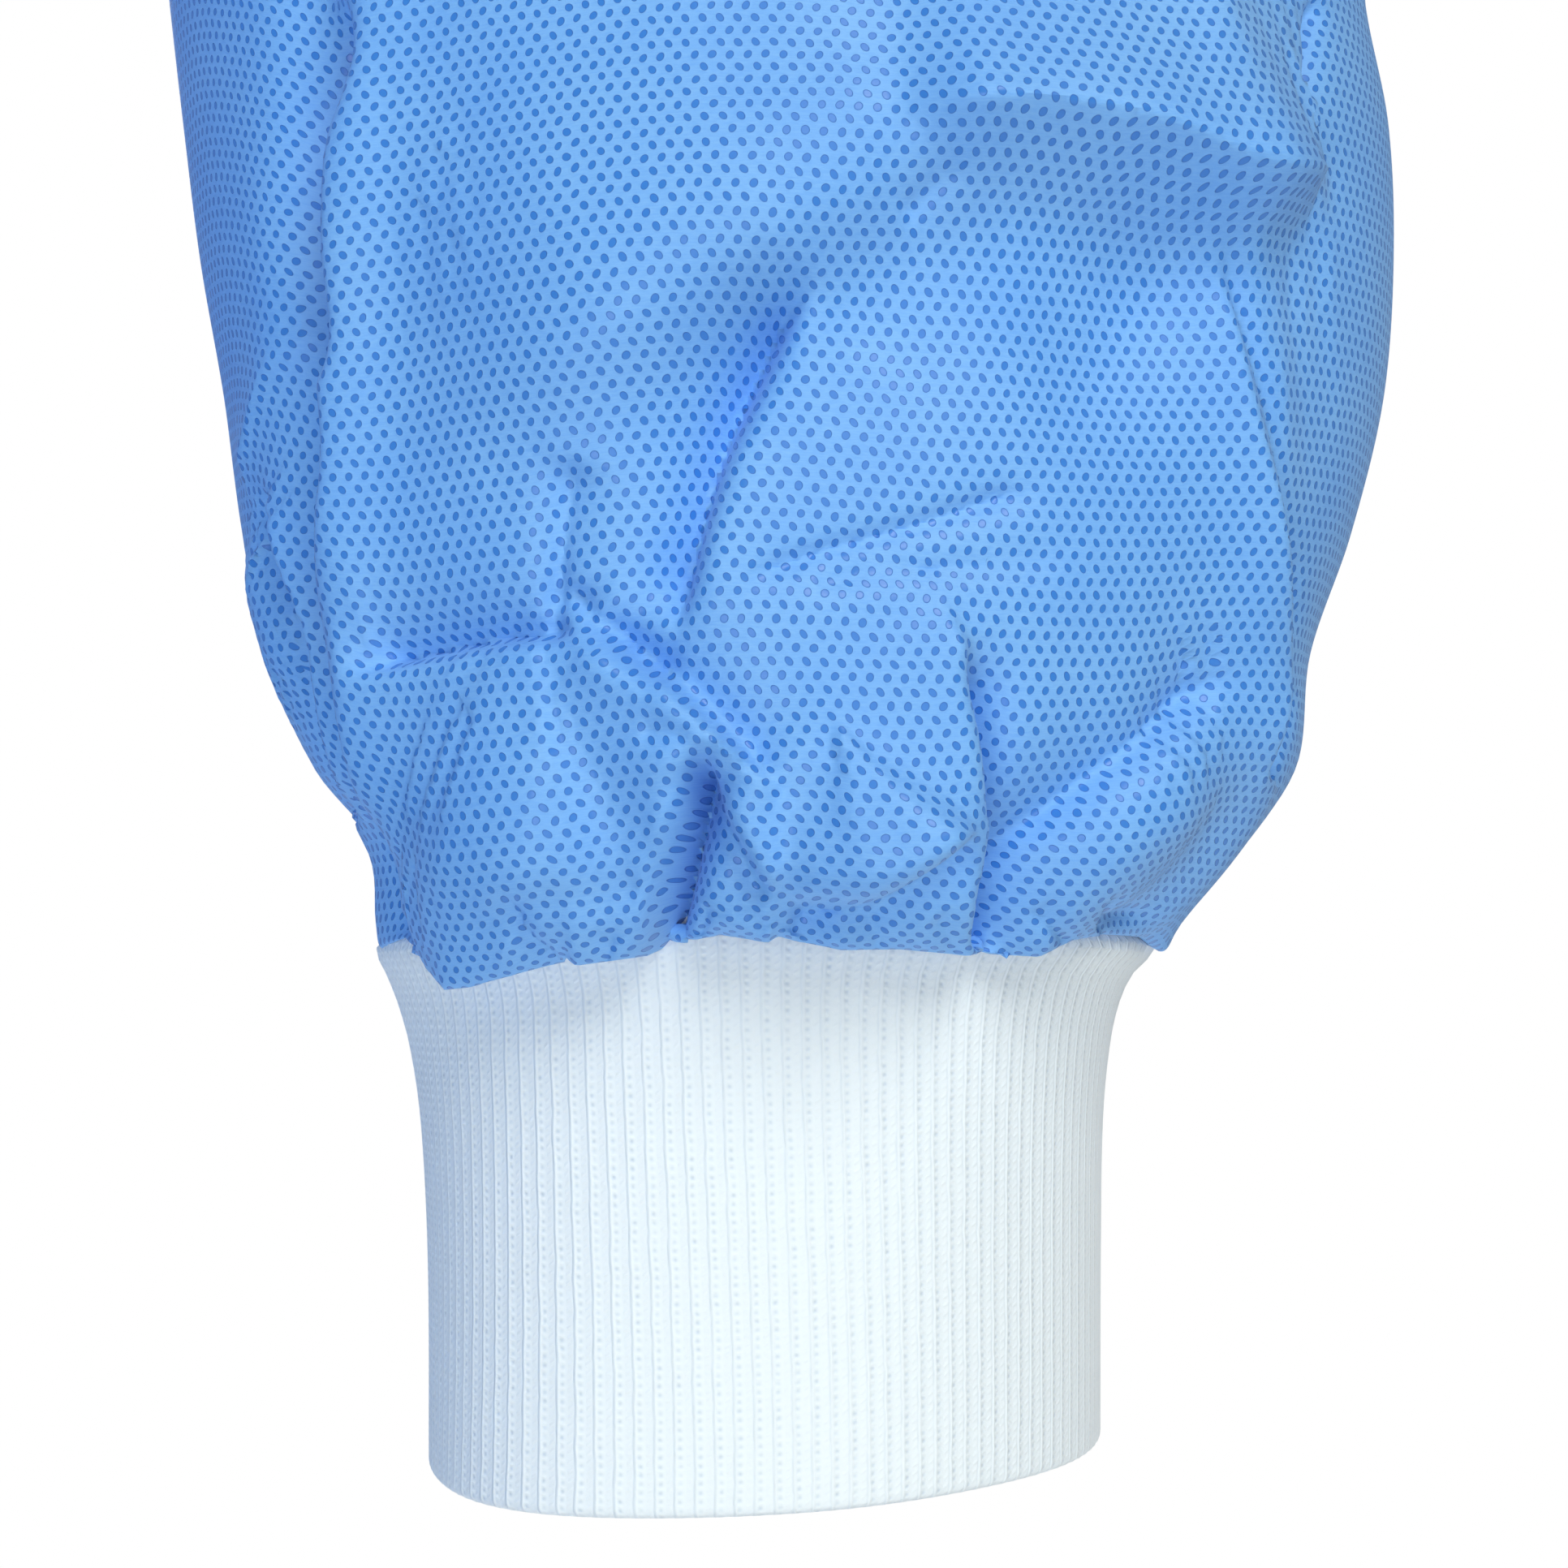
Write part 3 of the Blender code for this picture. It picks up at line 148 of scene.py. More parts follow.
# Sharp creases of the sleeve end, in the same measures
SLEEVE_END_CREASES = table(
    CREASE,
    # the pressed edge and the slot beside it
    (2.2, 7, 0.9, ((-43.9, 103.9), (-44.3, 95.8), (-44.7, 85.5), (-45.0, 72.1), (-45.5, 61.2),
     (-45.6, 53.4), (-45.7, 43.8), (-46.8, 35.9), (-44.0, 27.1), (-42.6, 18.7), (-41.3, 9.8),
     (-36.4, 3.5), (-34.0, 0.0), (-33.1, -2.7))),
    (-11, 1.5, 2.6, ((-45.0, 104.1), (-45.1, 95.9), (-47.5, 87.9), (-47.8, 78.7), (-46.4, 68.6),
     (-46.0, 62.2))),
    (-3, 0.9, 1.8, ((-46.0, 63.9), (-46.0, 53.4), (-47.5, 44.4), (-47.3, 35.9), (-44.6, 27.1),
     (-43.2, 19.0), (-42.1, 10.2))),
    (1.3, 2, 6, ((-50.1, 69.9), (-52.9, 66.9), (-55.2, 64.1), (-57.4, 59.0), (-59.6, 54.2))),
    (2.2, 5, 0.9, ((-55.7, 54.0), (-54.0, 48.4), (-53.0, 44.8), (-50.5, 37.1), (-49.4, 29.2),
     (-47.8, 20.4), (-45.6, 14.1))),
    (-6.4, 1.1, 4.5, ((-56.6, 53.5), (-54.8, 48.0), (-53.9, 44.4), (-51.4, 36.6), (-50.3, 28.7),
     (-49.0, 20.2), (-47.1, 14.2))),
    # the flap at the inner side
    (-4.4, 4.5, 0.9, ((-43.5, 32.0), (-37.9, 33.4), (-32.5, 34.3), (-27.8, 35.0), (-23.2, 35.3),
     (-18.7, 35.7))),
    (0.6, 0.8, 6, ((-42.5, 31.1), (-37.3, 32.5), (-32.1, 33.5), (-27.4, 34.1), (-23.2, 34.5),
     (-19.0, 34.8))),
    (-2.2, 3.5, 1.6, ((-19.5, 53.8), (-20.4, 50.5), (-21.2, 46.3), (-21.9, 41.3), (-22.4, 36.7))),
    (-2.8, 2.6, 0.9, ((-20.9, 40.8), (-17.8, 36.0), (-14.1, 32.6), (-9.1, 29.4))),
    (3.1, 0.8, 6, ((-18.7, 36.8), (-14.0, 32.6), (-10.4, 30.3), (-6.7, 26.8), (-2.9, 23.2),
     (0.9, 19.5), (3.5, 17.5))),
    (-3.4, 4.5, 0.8, ((-18.0, 37.4), (-13.4, 33.3), (-9.8, 30.9), (-6.1, 27.5), (-2.3, 23.9),
     (1.5, 20.3))),
    (1.5, 0.8, 7, ((-6.5, 24.9), (-7.6, 19.8), (-8.8, 15.6), (-10.1, 12.3), (-11.7, 7.1),
     (-13.2, 2.0), (-14.2, -1.5))),
    (-11, 3.6, 1, ((-5.7, 24.6), (-6.7, 19.8), (-7.9, 15.6), (-9.1, 12.3), (-10.8, 7.1),
     (-12.2, 2.0), (-13.2, -1.5))),
    (2.5, 4, 0.8, ((-6.5, 24.1), (-5.2, 20.6), (-3.0, 15.5), (-1.4, 12.9), (-0.1, 10.0),
     (2.8, 7.2))),
    (-3.4, 0.8, 3, ((-7.0, 23.2), (-6.0, 20.1), (-3.7, 15.0), (-2.2, 12.4), (-0.8, 9.5),
     (1.6, 6.4))),
    (-1.8, 1.1, 1.1, ((-24.9, 9.0), (-24.5, 7.0), (-24.2, 4.4))),
    (-3.1, 1, 1.4, ((-24.8, 5.0), (-22.6, 3.2), (-20.7, 0.5))),
    (-1, 1.3, 1.6, ((-29.5, 5.6), (-22.3, 7.6), (-17.1, 8.4), (-11.5, 9.8))),
    (-0.8, 0.9, 1.4, ((-12.4, 25.6), (-9.3, 25.3), (-6.8, 24.6))),
    # the swag in the middle
    (2.8, 6, 0.9, ((1.9, 7.6), (6.0, 7.3), (10.0, 7.5), (13.2, 9.0), (17.3, 12.2), (21.3, 16.1))),
    (-5, 0.9, 3, ((2.4, 6.6), (6.4, 6.3), (10.4, 6.6), (13.9, 8.2), (18.0, 11.4), (21.7, 14.9))),
    (-1.4, 1, 2.6, ((-2.9, 23.0), (0.6, 19.8), (3.0, 18.0))),
    # the upright crease and the slanting one
    (2.5, 0.8, 7, ((17.5, 39.6), (19.1, 36.5), (20.4, 33.4), (21.8, 28.0), (23.0, 22.8),
     (23.9, 17.4), (24.1, 12.4), (23.4, 6.4), (22.7, 1.3), (22.2, -1.3))),
    (-6, 3, 1, ((20.1, 34.5), (21.4, 32.0), (22.6, 28.0), (23.8, 22.8), (24.7, 17.4), (24.9, 12.4),
     (24.3, 6.4), (23.5, 1.3), (23.0, -1.3))),
    (-5.6, 3, 1.1, ((25.5, 14.3), (24.8, 9.5), (23.9, 4.6), (23.4, 1.3))),
    (-4.6, 2.2, 6, ((51.2, 32.3), (45.8, 27.9), (41.4, 24.1), (36.2, 20.3), (32.0, 16.6),
     (27.5, 12.8), (24.9, 9.6))),
    (-2.4, 1, 2.2, ((36.3, 3.6), (39.2, 4.4), (42.1, 4.6), (45.7, 4.7))),
    # fine creases over the middle
    (-1.8, 1, 1.6, ((-2.8, 40.0), (0.9, 41.8), (3.5, 42.8), (8.5, 44.4), (13.6, 45.8), (18.4, 47.3),
     (24.2, 49.3), (29.4, 50.5))),
    (-1.3, 1.6, 0.8, ((3.8, 39.2), (7.5, 40.6), (10.4, 41.1), (17.1, 41.9), (22.6, 42.2),
     (28.5, 42.5), (33.0, 43.1))),
    # the long slanting valley
    (-6.2, 1.1, 5, ((5.6, 71.7), (3.0, 68.4), (-0.8, 60.9), (-4.3, 53.7), (-6.6, 46.2),
     (-8.1, 40.3), (-9.2, 34.9))),
    (1, 7, 0.8, ((6.4, 71.2), (3.8, 67.9), (0.1, 60.4), (-3.4, 53.3), (-5.8, 45.7), (-7.3, 39.9),
     (-8.4, 34.8))),
    (-1.3, 1.2, 2, ((20.1, 83.4), (16.7, 80.3), (14.1, 77.4))),
    # the level fold at the top
    (6.6, 14, 4, ((12.6, 88.7), (19.7, 88.8), (26.0, 88.9), (31.1, 88.7), (38.4, 87.5),
     (45.8, 85.0), (52.2, 84.7), (58.0, 86.2), (62.3, 87.9))),
    (-2.2, 2.2, 1.6, ((61.8, 107.8), (60.8, 103.4), (60.0, 98.8), (59.2, 94.4))),
    # the outer edge and the hollow below it
    (2.2, 2.2, 6, ((48.7, 78.8), (49.9, 68.5), (51.2, 58.2), (53.2, 49.1), (54.6, 40.8),
     (55.5, 32.2), (55.0, 24.4), (54.2, 15.5))),
    (-1.8, 2.4, 2, ((48.7, 80.5), (50.5, 72.3), (52.9, 63.3), (55.6, 52.6), (59.1, 41.3),
     (60.7, 35.1))),
    (-6, 2, 2.4, ((59.7, 30.9), (58.7, 27.6), (57.6, 24.0), (56.8, 19.9))),
    # puckers above the seam
    (-1.5, 1.1, 1.3, ((-6.1, 6.0), (-6.7, 4.2), (-7.1, 2.0))),
    (-1.3, 1.1, 1.1, ((-3.0, 5.4), (-1.3, 5.0), (0.7, 3.3))),
    (-1.6, 1.1, 1.4, ((5.0, 6.1), (4.1, 4.5), (3.3, 2.4))),
    (-1.2, 1.1, 1.2, ((12.4, 6.7), (12.1, 4.2), (12.7, 2.0))),
    (-1.2, 1.1, 1.2, ((18.0, 5.8), (19.4, 3.7), (20.2, 1.5))),
    (-1.5, 1.2, 1.2, ((30.8, 7.2), (31.9, 4.7), (33.0, 2.0))),
    (-1.3, 1.1, 1.3, ((28.1, 5.6), (27.7, 3.6), (27.5, 1.4))),
    (-1.6, 1.2, 1.4, ((37.9, 7.1), (37.6, 4.9), (37.8, 2.4))),
    (-1.8, 1.2, 1.4, ((-38.1, 6.1), (-38.9, 3.3), (-39.2, 1.2))),
    (-1.2, 1.1, 1.2, ((-16.5, 4.8), (-16.2, 3.1), (-15.9, 1.4))),
    (0.8, 2, 2, ((8.0, 6.2), (8.2, 4.0), (8.3, 2.1))),
    (0.9, 2.2, 2.2, ((24.6, 5.5), (25.2, 3.2), (25.5, 1.5))),
)
# Creases of the rest of the sleeve, in millimetres: across is round it from the front's middle
# towards the inner side, and up is from the armhole, so all of it lies below nought
UPPER_CREASES = table(
    CREASE,
    (-2.2, 4, 9, ((108, -26), (84, -60), (50, -104))),
    (1.6, 8, 5, ((96, -20), (66, -52), (34, -82))),
    (-1.8, 4, 7, ((122, -40), (96, -84), (74, -130))),
    (-2.4, 4, 8, ((118, -212), (84, -224), (42, -214))),
    (1.5, 7, 5, ((116, -198), (80, -208), (40, -198))),
    (-2.0, 4, 8, ((120, -236), (90, -252), (52, -256))),
    (1.4, 6, 6, ((118, -246), (88, -266), (54, -276))),
    (-1.5, 4, 7, ((104, -268), (70, -288), (24, -294))),
    (-1.4, 5, 5, ((20, -40), (8, -92), (14, -150))),
    (1.1, 7, 7, ((2, -24), (-10, -70), (-6, -128))),
    (-1.2, 4, 8, ((-34, -16), (-40, -70), (-30, -120))),
    (-1.3, 5, 6, ((-20, -170), (4, -196), (34, -204))),
    (0.9, 6, 6, ((-44, -206), (-20, -232), (20, -240))),
    (-1.1, 4, 6, ((-60, -250), (-30, -284), (10, -310))),
    (-1.3, 4, 8, ((22, -322), (2, -338), (-26, -348))),
    (0.9, 8, 6, ((46, -306), (20, -318), (-10, -322))),
    (-1.0, 5, 6, ((82, -300), (60, -330), (52, -356))),
    (-1.5, 5, 8, ((214, -30), (226, -74), (240, -122))),
    (1.2, 8, 6, ((196, -24), (206, -64), (216, -110))),
    (-2.2, 5, 8, ((130, -214), (164, -228), (206, -216))),
    (1.5, 7, 6, ((132, -200), (166, -210), (204, -200))),
    (-1.9, 4, 8, ((128, -240), (160, -258), (196, -262))),
    (1.2, 7, 7, ((132, -258), (162, -276), (190, -286))),
    (-1.2, 5, 7, ((250, -150), (232, -184), (208, -196))),
    (-1.1, 4, 7, ((262, -230), (244, -270), (226, -300))),
    (0.9, 7, 7, ((238, -236), (222, -268), (200, -300))),
    (-1.0, 5, 5, ((276, -60), (268, -110), (276, -160))),
    (1.0, 6, 6, ((292, -40), (288, -84), (296, -130))),
)
UPPER_RADIUS = 0.074
CREASE_FADE, FOLD_FADE = 0.18, 0.42
CREASE_PEAK, FOLD_PEAK, UPPER_PEAK = 1.2, 1.8, 1.7
CREASE_STEPS, CREASE_REACH, CREASE_END = 10, 5, 0.05
END_RELIEF_FADE = 0.006
# The sleeve end's folds run out where its sides turn edge on
EDGE_ON, LEAST_TURN, EDGE_EASING = 0.02, 0.25, 2.8
RIGHT_SLEEVE_SHARE = 0.85

# The mesh is finest over the sleeve end and its front, and where creases bend it most
SLEEVE_BACK_STEPS, SLEEVE_FRONT_STEPS = 66, 190
SLEEVE_UPPER_ROWS, SLEEVE_END_ROWS, SLEEVE_END_START = 38, 88, 0.350
SLEEVE_MARGIN = 0.0004
FINER_AT, FINER_SPREAD, FINER_SHARE = 134, 16, 1.2
REFINED_FACES, BACK_BEND_FROM, BACK_BEND_SHARE = 4200, -0.1, 0.45
FRONT_MIDDLE = 2.5 * math.pi
EASING_ROUNDS, EASING_SHARE, EASING_MOST = 140, 0.28, 1.22
SLEEVE_SEAM_TURN, SLEEVE_SEAM_DRIFT = math.radians(20), 0.25
SLEEVE_SEAM_DEPTH, SLEEVE_SEAM_SPREAD = 0.0008, 0.0016


def between(start, leave, end, arrive, t):
    """A smooth run from start to end, with the slopes leave and arrive, at t from 0 to 1."""
    return (start * (2 * t ** 3 - 3 * t ** 2 + 1) + leave * (t ** 3 - 2 * t ** 2 + t)
            + end * (3 * t ** 2 - 2 * t ** 3) + arrive * (t ** 3 - t ** 2))


def read(rows, at, column):
    """A column of a table read smoothly between its rows, which rise by their first column."""
    keys = np.array([row[0] for row in rows], float)
    values = np.array([getattr(row, column) for row in rows], float)
    slopes = np.empty_like(values)
    slopes[1:-1] = (values[2:] - values[:-2]) / (keys[2:] - keys[:-2])
    slopes[0] = (values[1] - values[0]) / (keys[1] - keys[0])
    slopes[-1] = (values[-1] - values[-2]) / (keys[-1] - keys[-2])
    at = np.clip(at, keys[0], keys[-1])
    low = np.clip(np.searchsorted(keys, at) - 1, 0, len(keys) - 2)
    span = keys[low + 1] - keys[low]
    t = (at - keys[low]) / span
    return between(values[low], slopes[low] * span, values[low + 1], slopes[low + 1] * span, t)


def bell(distance, spread):
    return np.exp(-(distance / spread) ** 2)


def ease(t):
    t = np.clip(t, 0.0, 1.0)
    return t * t * (3 - 2 * t)


def round_gap(a, b, turn):
    """How far a is from b on a ring that is turn long."""
    return (a - b + turn / 2) % turn - turn / 2


def unit(vectors):
    return vectors / np.maximum(np.linalg.norm(vectors, axis=-1, keepdims=True), 1e-12)


def smooth_between(knots, count):
    """A smooth run through knots, evenly spaced."""
    knots = np.array(knots, float)
    padded = np.concatenate([2 * knots[:1] - knots[1:2], knots, 2 * knots[-1:] - knots[-2:-1]])
    fine = []
    for i in range(len(knots) - 1):
        a, b, c, d = padded[i:i + 4]
        t = np.linspace(0, 1, 12, endpoint=i == len(knots) - 2)[:, None]
        fine.append(0.5 * (2 * b + (c - a) * t + (2 * a - 5 * b + 4 * c - d) * t ** 2
                           + (3 * b - a - 3 * c + d) * t ** 3))
    fine = np.concatenate(fine)
    gone = np.insert(np.cumsum(np.linalg.norm(np.diff(fine, axis=0), axis=1)), 0, 0)
    want = np.linspace(0, gone[-1], count)
    return np.stack([np.interp(want, gone, column) for column in fine.T], axis=1)


def creased(creases, across, up, peak=CREASE_PEAK, fade=CREASE_FADE, stretch=1.0, soft=1.0):
    """Relief in metres of a table of creases at places given in millimetres.

    Stretch is how many times wider the cloth is there than its place across tells, and soft is
    how many times wider the creases are.
    """
    relief = np.zeros(np.broadcast(across, up).shape)
    across, up, stretch = (np.broadcast_to(a, relief.shape) for a in (across, up, stretch))
    for c in creases:
        steps = max(CREASE_STEPS, 2 * len(c.path))
        path = smooth_between(c.path, steps + 1)
        low, high = path.min(axis=0), path.max(axis=0)
        reach = CREASE_REACH * soft * max(c.left, c.right)
        near = ((across > low[0] - reach) & (across < high[0] + reach)
                & (up > low[1] - reach) & (up < high[1] + reach))
        x, y, wider = across[near], up[near], stretch[near]
        if not x.size:
            continue
        best, best_t, best_side = np.full(x.shape, np.inf), np.zeros(x.shape), np.zeros(x.shape)
        for i in range(steps):
            run_x, run_y = path[i + 1] - path[i]
            off_x, off_y = x - path[i, 0], y - path[i, 1]
            s = np.clip((off_x * run_x + off_y * run_y) / (run_x ** 2 + run_y ** 2), 0, 1)
            off_x, off_y = off_x - s * run_x, off_y - s * run_y
            off = np.hypot(off_x * wider, off_y)
            closer = off < best
            best = np.where(closer, off, best)
            best_t = np.where(closer, (i + s) / steps, best_t)
            best_side = np.where(closer, run_x * off_y - run_y * off_x, best_side)
        spread = np.where(best_side > 0, c.left, c.right) * soft
        ends = ease(np.minimum(best_t, 1 - best_t) / fade + CREASE_END)
        relief[near] += c.height / 1000 * ends * np.exp(-(best / spread) ** peak)
    return relief


def sleeve_relief(angle, down, half_wide, rise, share):
    """How far folds, gathers and the seam make the sleeve stand out from its plain form."""
    across, forward, degrees = np.cos(angle), np.sin(angle), np.degrees(angle)
    inner = read(PRESSED_EDGE, rise, "inner_angle")
    outer = read(PRESSED_EDGE, rise, "outer_angle")
    relief = read(PRESSED_EDGE, rise, "strength") * (
        INNER_RIDGE * bell(round_gap(degrees, inner, 360), RIDGE_SPREAD)
        - INNER_FOLD * bell(round_gap(degrees, inner + INNER_FOLD_ANGLE, 360), RIDGE_SPREAD)
        + OUTER_RIDGE * bell(round_gap(degrees, outer, 360), RIDGE_SPREAD))
    gather = read(SLEEVE, down, "gather")
    for g in GATHERS:
        drawn_in = g.depth * bell(round_gap(degrees * PLACES / 360, g.place, PLACES), g.spread)
        relief -= drawn_in * ease(1 - rise / g.reach) * gather
    end_fade = ease((SLEEVE_LENGTH - down) / END_RELIEF_FADE)
    for side in END_SIDES:
        toward = side.sign * forward
        place_across, place_up = side.sign * half_wide * across * 1000, (rise - side.rise) * 1000
        stretch = 1 / np.clip(toward, LEAST_TURN, 1)
        folds = creased(SLEEVE_END_FOLDS, place_across, place_up, FOLD_PEAK, FOLD_FADE, stretch)
        creases = creased(SLEEVE_END_CREASES, place_across, place_up,
                          CREASE_PEAK * side.soft ** 0.5, CREASE_FADE, stretch, side.soft)
        end = np.where(toward > EDGE_ON, folds + creases / side.soft, 0)
        relief += end * side.share * share * ease(toward * EDGE_EASING) * end_fade
    round_mm = np.radians((degrees - 90) % 360) * UPPER_RADIUS * 1000
    for whole_turn in (0, 2 * math.pi * UPPER_RADIUS * 1000):
        relief += creased(UPPER_CREASES, round_mm - whole_turn, -down * 1000, UPPER_PEAK) * share
    seam = round_gap(angle, math.pi + sleeve_seam_turn(down), 2 * math.pi) * UPPER_RADIUS
    return relief - SLEEVE_SEAM_DEPTH * bell(seam, SLEEVE_SEAM_SPREAD)


def sleeve_form(angle, down, share=0.0):
    """Points of the left sleeve's outside; angle 0 is outer, a quarter turn is the front.

    Share is how high its folds stand, and without it the form is plain.
    """
    tilt = np.radians(read(SLEEVE, down, "tilt"))
    across, forward = np.cos(angle), np.sin(angle)
    half_wide = np.where(across > 0, read(SLEEVE, down, "outer"), read(SLEEVE, down, "inner"))
    half_deep = np.where(forward > 0, read(SLEEVE, down, "front"), read(SLEEVE, down, "back"))
    z = read(SLEEVE, down, "z")
    rise = np.maximum(z - CUFF_SEAM_Z, 0)
    outward = unit(np.stack([np.cos(tilt) * across * half_deep, -forward * half_wide + 0 * tilt,
                             np.sin(tilt) * across * half_deep], axis=-1))
    relief = sleeve_relief(angle, down, half_wide, rise, share) if share else 0.0
    places, falls = np.array(LOWER_EDGE).T
    fall = np.interp(np.degrees(angle) * PLACES / 360, places, falls, period=PLACES) / 1000
    fall = fall * read(SLEEVE, down, "sag")
    points = np.stack([
        read(SLEEVE, down, "x") + np.cos(tilt) * half_wide * across
        - ARMHOLE_BOW * forward ** 2 * np.exp(-down / ARMHOLE_BOW_FADE),
        read(SLEEVE, down, "y") - half_deep * forward,
        z + np.sin(tilt) * half_wide * across], axis=-1)
    points += outward * (relief + EDGE_STAND_OFF * fall)[..., None]
    lift = CUFF_SEAM_LIFT * forward * ease(1 - (SLEEVE_LENGTH - down) / SEAM_LIFT_FADE)
    points[..., 2] += lift - fall
    return points


def sleeve_seam_turn(down):
    """How far round to the back the underarm seam has drifted."""
    return SLEEVE_SEAM_TURN * ease(down / SLEEVE_SEAM_DRIFT)


def grid_faces(rows, columns, closed, flip=False):
    """Quads of a grid of points and, for each corner, its place in a table one column wider."""
    across = columns if closed else columns - 1
    r, c = (i.ravel() for i in np.meshgrid(np.arange(rows - 1), np.arange(across), indexing="ij"))
    corners = ((r, c), (r, c + 1), (r + 1, c + 1), (r + 1, c))
    if flip:
        corners = corners[::-1]
    faces = np.stack([a * columns + b % columns for a, b in corners], axis=1)
    wide = columns + 1 if closed else columns
    return faces, np.stack([a * wide + b for a, b in corners], axis=1)


def lengths_along(points, axis, middle=0):
    """Distance along a grid's rows or columns, nought at the middle index."""
    steps = np.linalg.norm(np.diff(points, axis=axis), axis=-1)
    total = np.cumsum(steps, axis=axis)
    total = np.insert(total, 0, 0, axis=axis)
    return total - np.take(total, [middle], axis=axis)


def new_object(name, data):
    made = bpy.data.objects.new(name, data)
    bpy.context.scene.collection.objects.link(made)
    return made


def shell(name, points, faces, cloth_uv, corner_uv, thickness, finish):
    """A thin closed shell: its outside as given, and its inside a thickness further in."""
    faces, corner_uv = [tuple(f) for f in faces], [tuple(c) for c in corner_uv]
    skin = bpy.data.meshes.new(name + "_skin")
    skin.from_pydata(points, [], faces)
    normals = np.empty(len(points) * 3)
    skin.vertices.foreach_get("normal", normals)
    normals = normals.reshape(-1, 3)
    bpy.data.meshes.remove(skin)
    count = len(points)
    edges = {}
    for face, corners in zip(faces, corner_uv):
        for i in range(len(face)):
            j = (i + 1) % len(face)
            edges[face[i], face[j]] = (corners[i], corners[j])
    all_faces = faces + [tuple(i + count for i in reversed(f)) for f in faces]
    all_corners = corner_uv + [c[::-1] for c in corner_uv]
    for (a, b), (ca, cb) in edges.items():
        if (b, a) not in edges:
            all_faces.append((b, a, a + count, b + count))
            all_corners.append((cb, ca, ca, cb))
    mesh = bpy.data.meshes.new(name)
    mesh.from_pydata(np.concatenate([points, points - normals * thickness]), [], all_faces)
    layer = mesh.uv_layers.new(name="cloth")
    layer.data.foreach_set("uv", cloth_uv[[i for c in all_corners for i in c]].ravel())
    mesh.shade_smooth()
    mesh.set_sharp_from_angle(angle=math.radians(60))
    mesh.materials.append(finish)
    return new_object(name, mesh)


class Nodes:
    """Adds shader nodes to a tree; a value or a socket may be given for each input."""

    def __init__(self, tree):
        self.tree = tree

    def add(self, kind, inputs=(), **settings):
        made = self.tree.nodes.new(kind)
        for key, value in settings.items():
            setattr(made, key, value)
        for key, value in dict(inputs).items():
            if isinstance(value, bpy.types.NodeSocket):
                self.tree.links.new(value, made.inputs[key])
            else:
                made.inputs[key].default_value = value
        return made

    def math(self, operation, *values):
        return self.add("ShaderNodeMath", enumerate(values), operation=operation).outputs[0]

    def mix(self, share, a, b):
        made = self.add("ShaderNodeMix", {0: share, 6: a, 7: b}, data_type="RGBA")
        return made.outputs[2]

    def total(self, *weighted):
        """The sum of values, each given with its weight."""
        parts = [value if weight == 1 else self.math("MULTIPLY", value, weight)
                 for value, weight in weighted]
        whole = parts[0]
        for part in parts[1:]:
            whole = self.math("ADD", whole, part)
        return whole

    def ramp(self, value, low, high, start=0.0, end=1.0):
        made = self.add("ShaderNodeMapRange", {0: value, 1: low, 2: high, 3: start, 4: end},
                        interpolation_type="SMOOTHSTEP")
        return made.outputs[0]

    def noise(self, place, scale, detail=2.0, roughness=0.5):
        made = self.add("ShaderNodeTexNoise", {"Vector": place, "Scale": scale, "Detail": detail,
                                               "Roughness": roughness})
        return made.outputs[0]

    def bump(self, height, strength, distance, shader):
        made = self.add("ShaderNodeBump", {"Height": height, "Strength": strength,
                                           "Distance": distance})
        self.tree.links.new(made.outputs[0], shader.inputs["Normal"])


def new_material(name, base, roughness, **settings):
    made = bpy.data.materials.new(name)
    made.use_nodes = True
    shader = made.node_tree.nodes["Principled BSDF"]
    shader.inputs["Base Color"].default_value = (*base, 1)
    shader.inputs["Roughness"].default_value = roughness
    for key, value in settings.items():
        shader.inputs[key.replace("_", " ")].default_value = value
    return made, Nodes(made.node_tree), shader


# Bond points of the cloth: staggered ovals, every other row leaning the other way
BOND_PITCH, BOND_ROW = 0.00172, 0.00137
BOND_LONG, BOND_SHORT, BOND_LEAN = 0.00048, 0.00037, 0.55
# From the middle of a bond, in its own half widths: its edge, its clear film and the dip round it
BOND_EDGE, BOND_FILM, BOND_DIP = (1.08, 0.90), (0.95, 0.70), (1.7, 1.0)
CLOTH_COLOUR = (0.208, 0.490, 0.905, 1)
CLOTH_SHADE = (0.145, 0.405, 0.875, 1)
BOND_COLOUR = (0.036, 0.218, 0.665, 1)
BOND_RIM = (0.030, 0.150, 0.530, 1)


def cloth_place(n, scale, detail, wander):
    """The place on a piece's cloth, and the same made a little uneven, as across and along."""
    uv = n.add("ShaderNodeUVMap", uv_map="cloth").outputs[0]
    wobble = n.add("ShaderNodeTexNoise", {"Vector": uv, "Scale": scale, "Detail": detail})
    shift = n.add("ShaderNodeVectorMath", {0: wobble.outputs[1], 1: (0.5, 0.5, 0.5)},
                  operation="SUBTRACT").outputs[0]
    shift = n.add("ShaderNodeVectorMath", {0: shift, "Scale": wander}, operation="SCALE").outputs[0]
    place = n.add("ShaderNodeVectorMath", {0: uv, 1: shift}, operation="ADD").outputs[0]
    return uv, *n.add("ShaderNodeSeparateXYZ", {0: place}).outputs[:2]


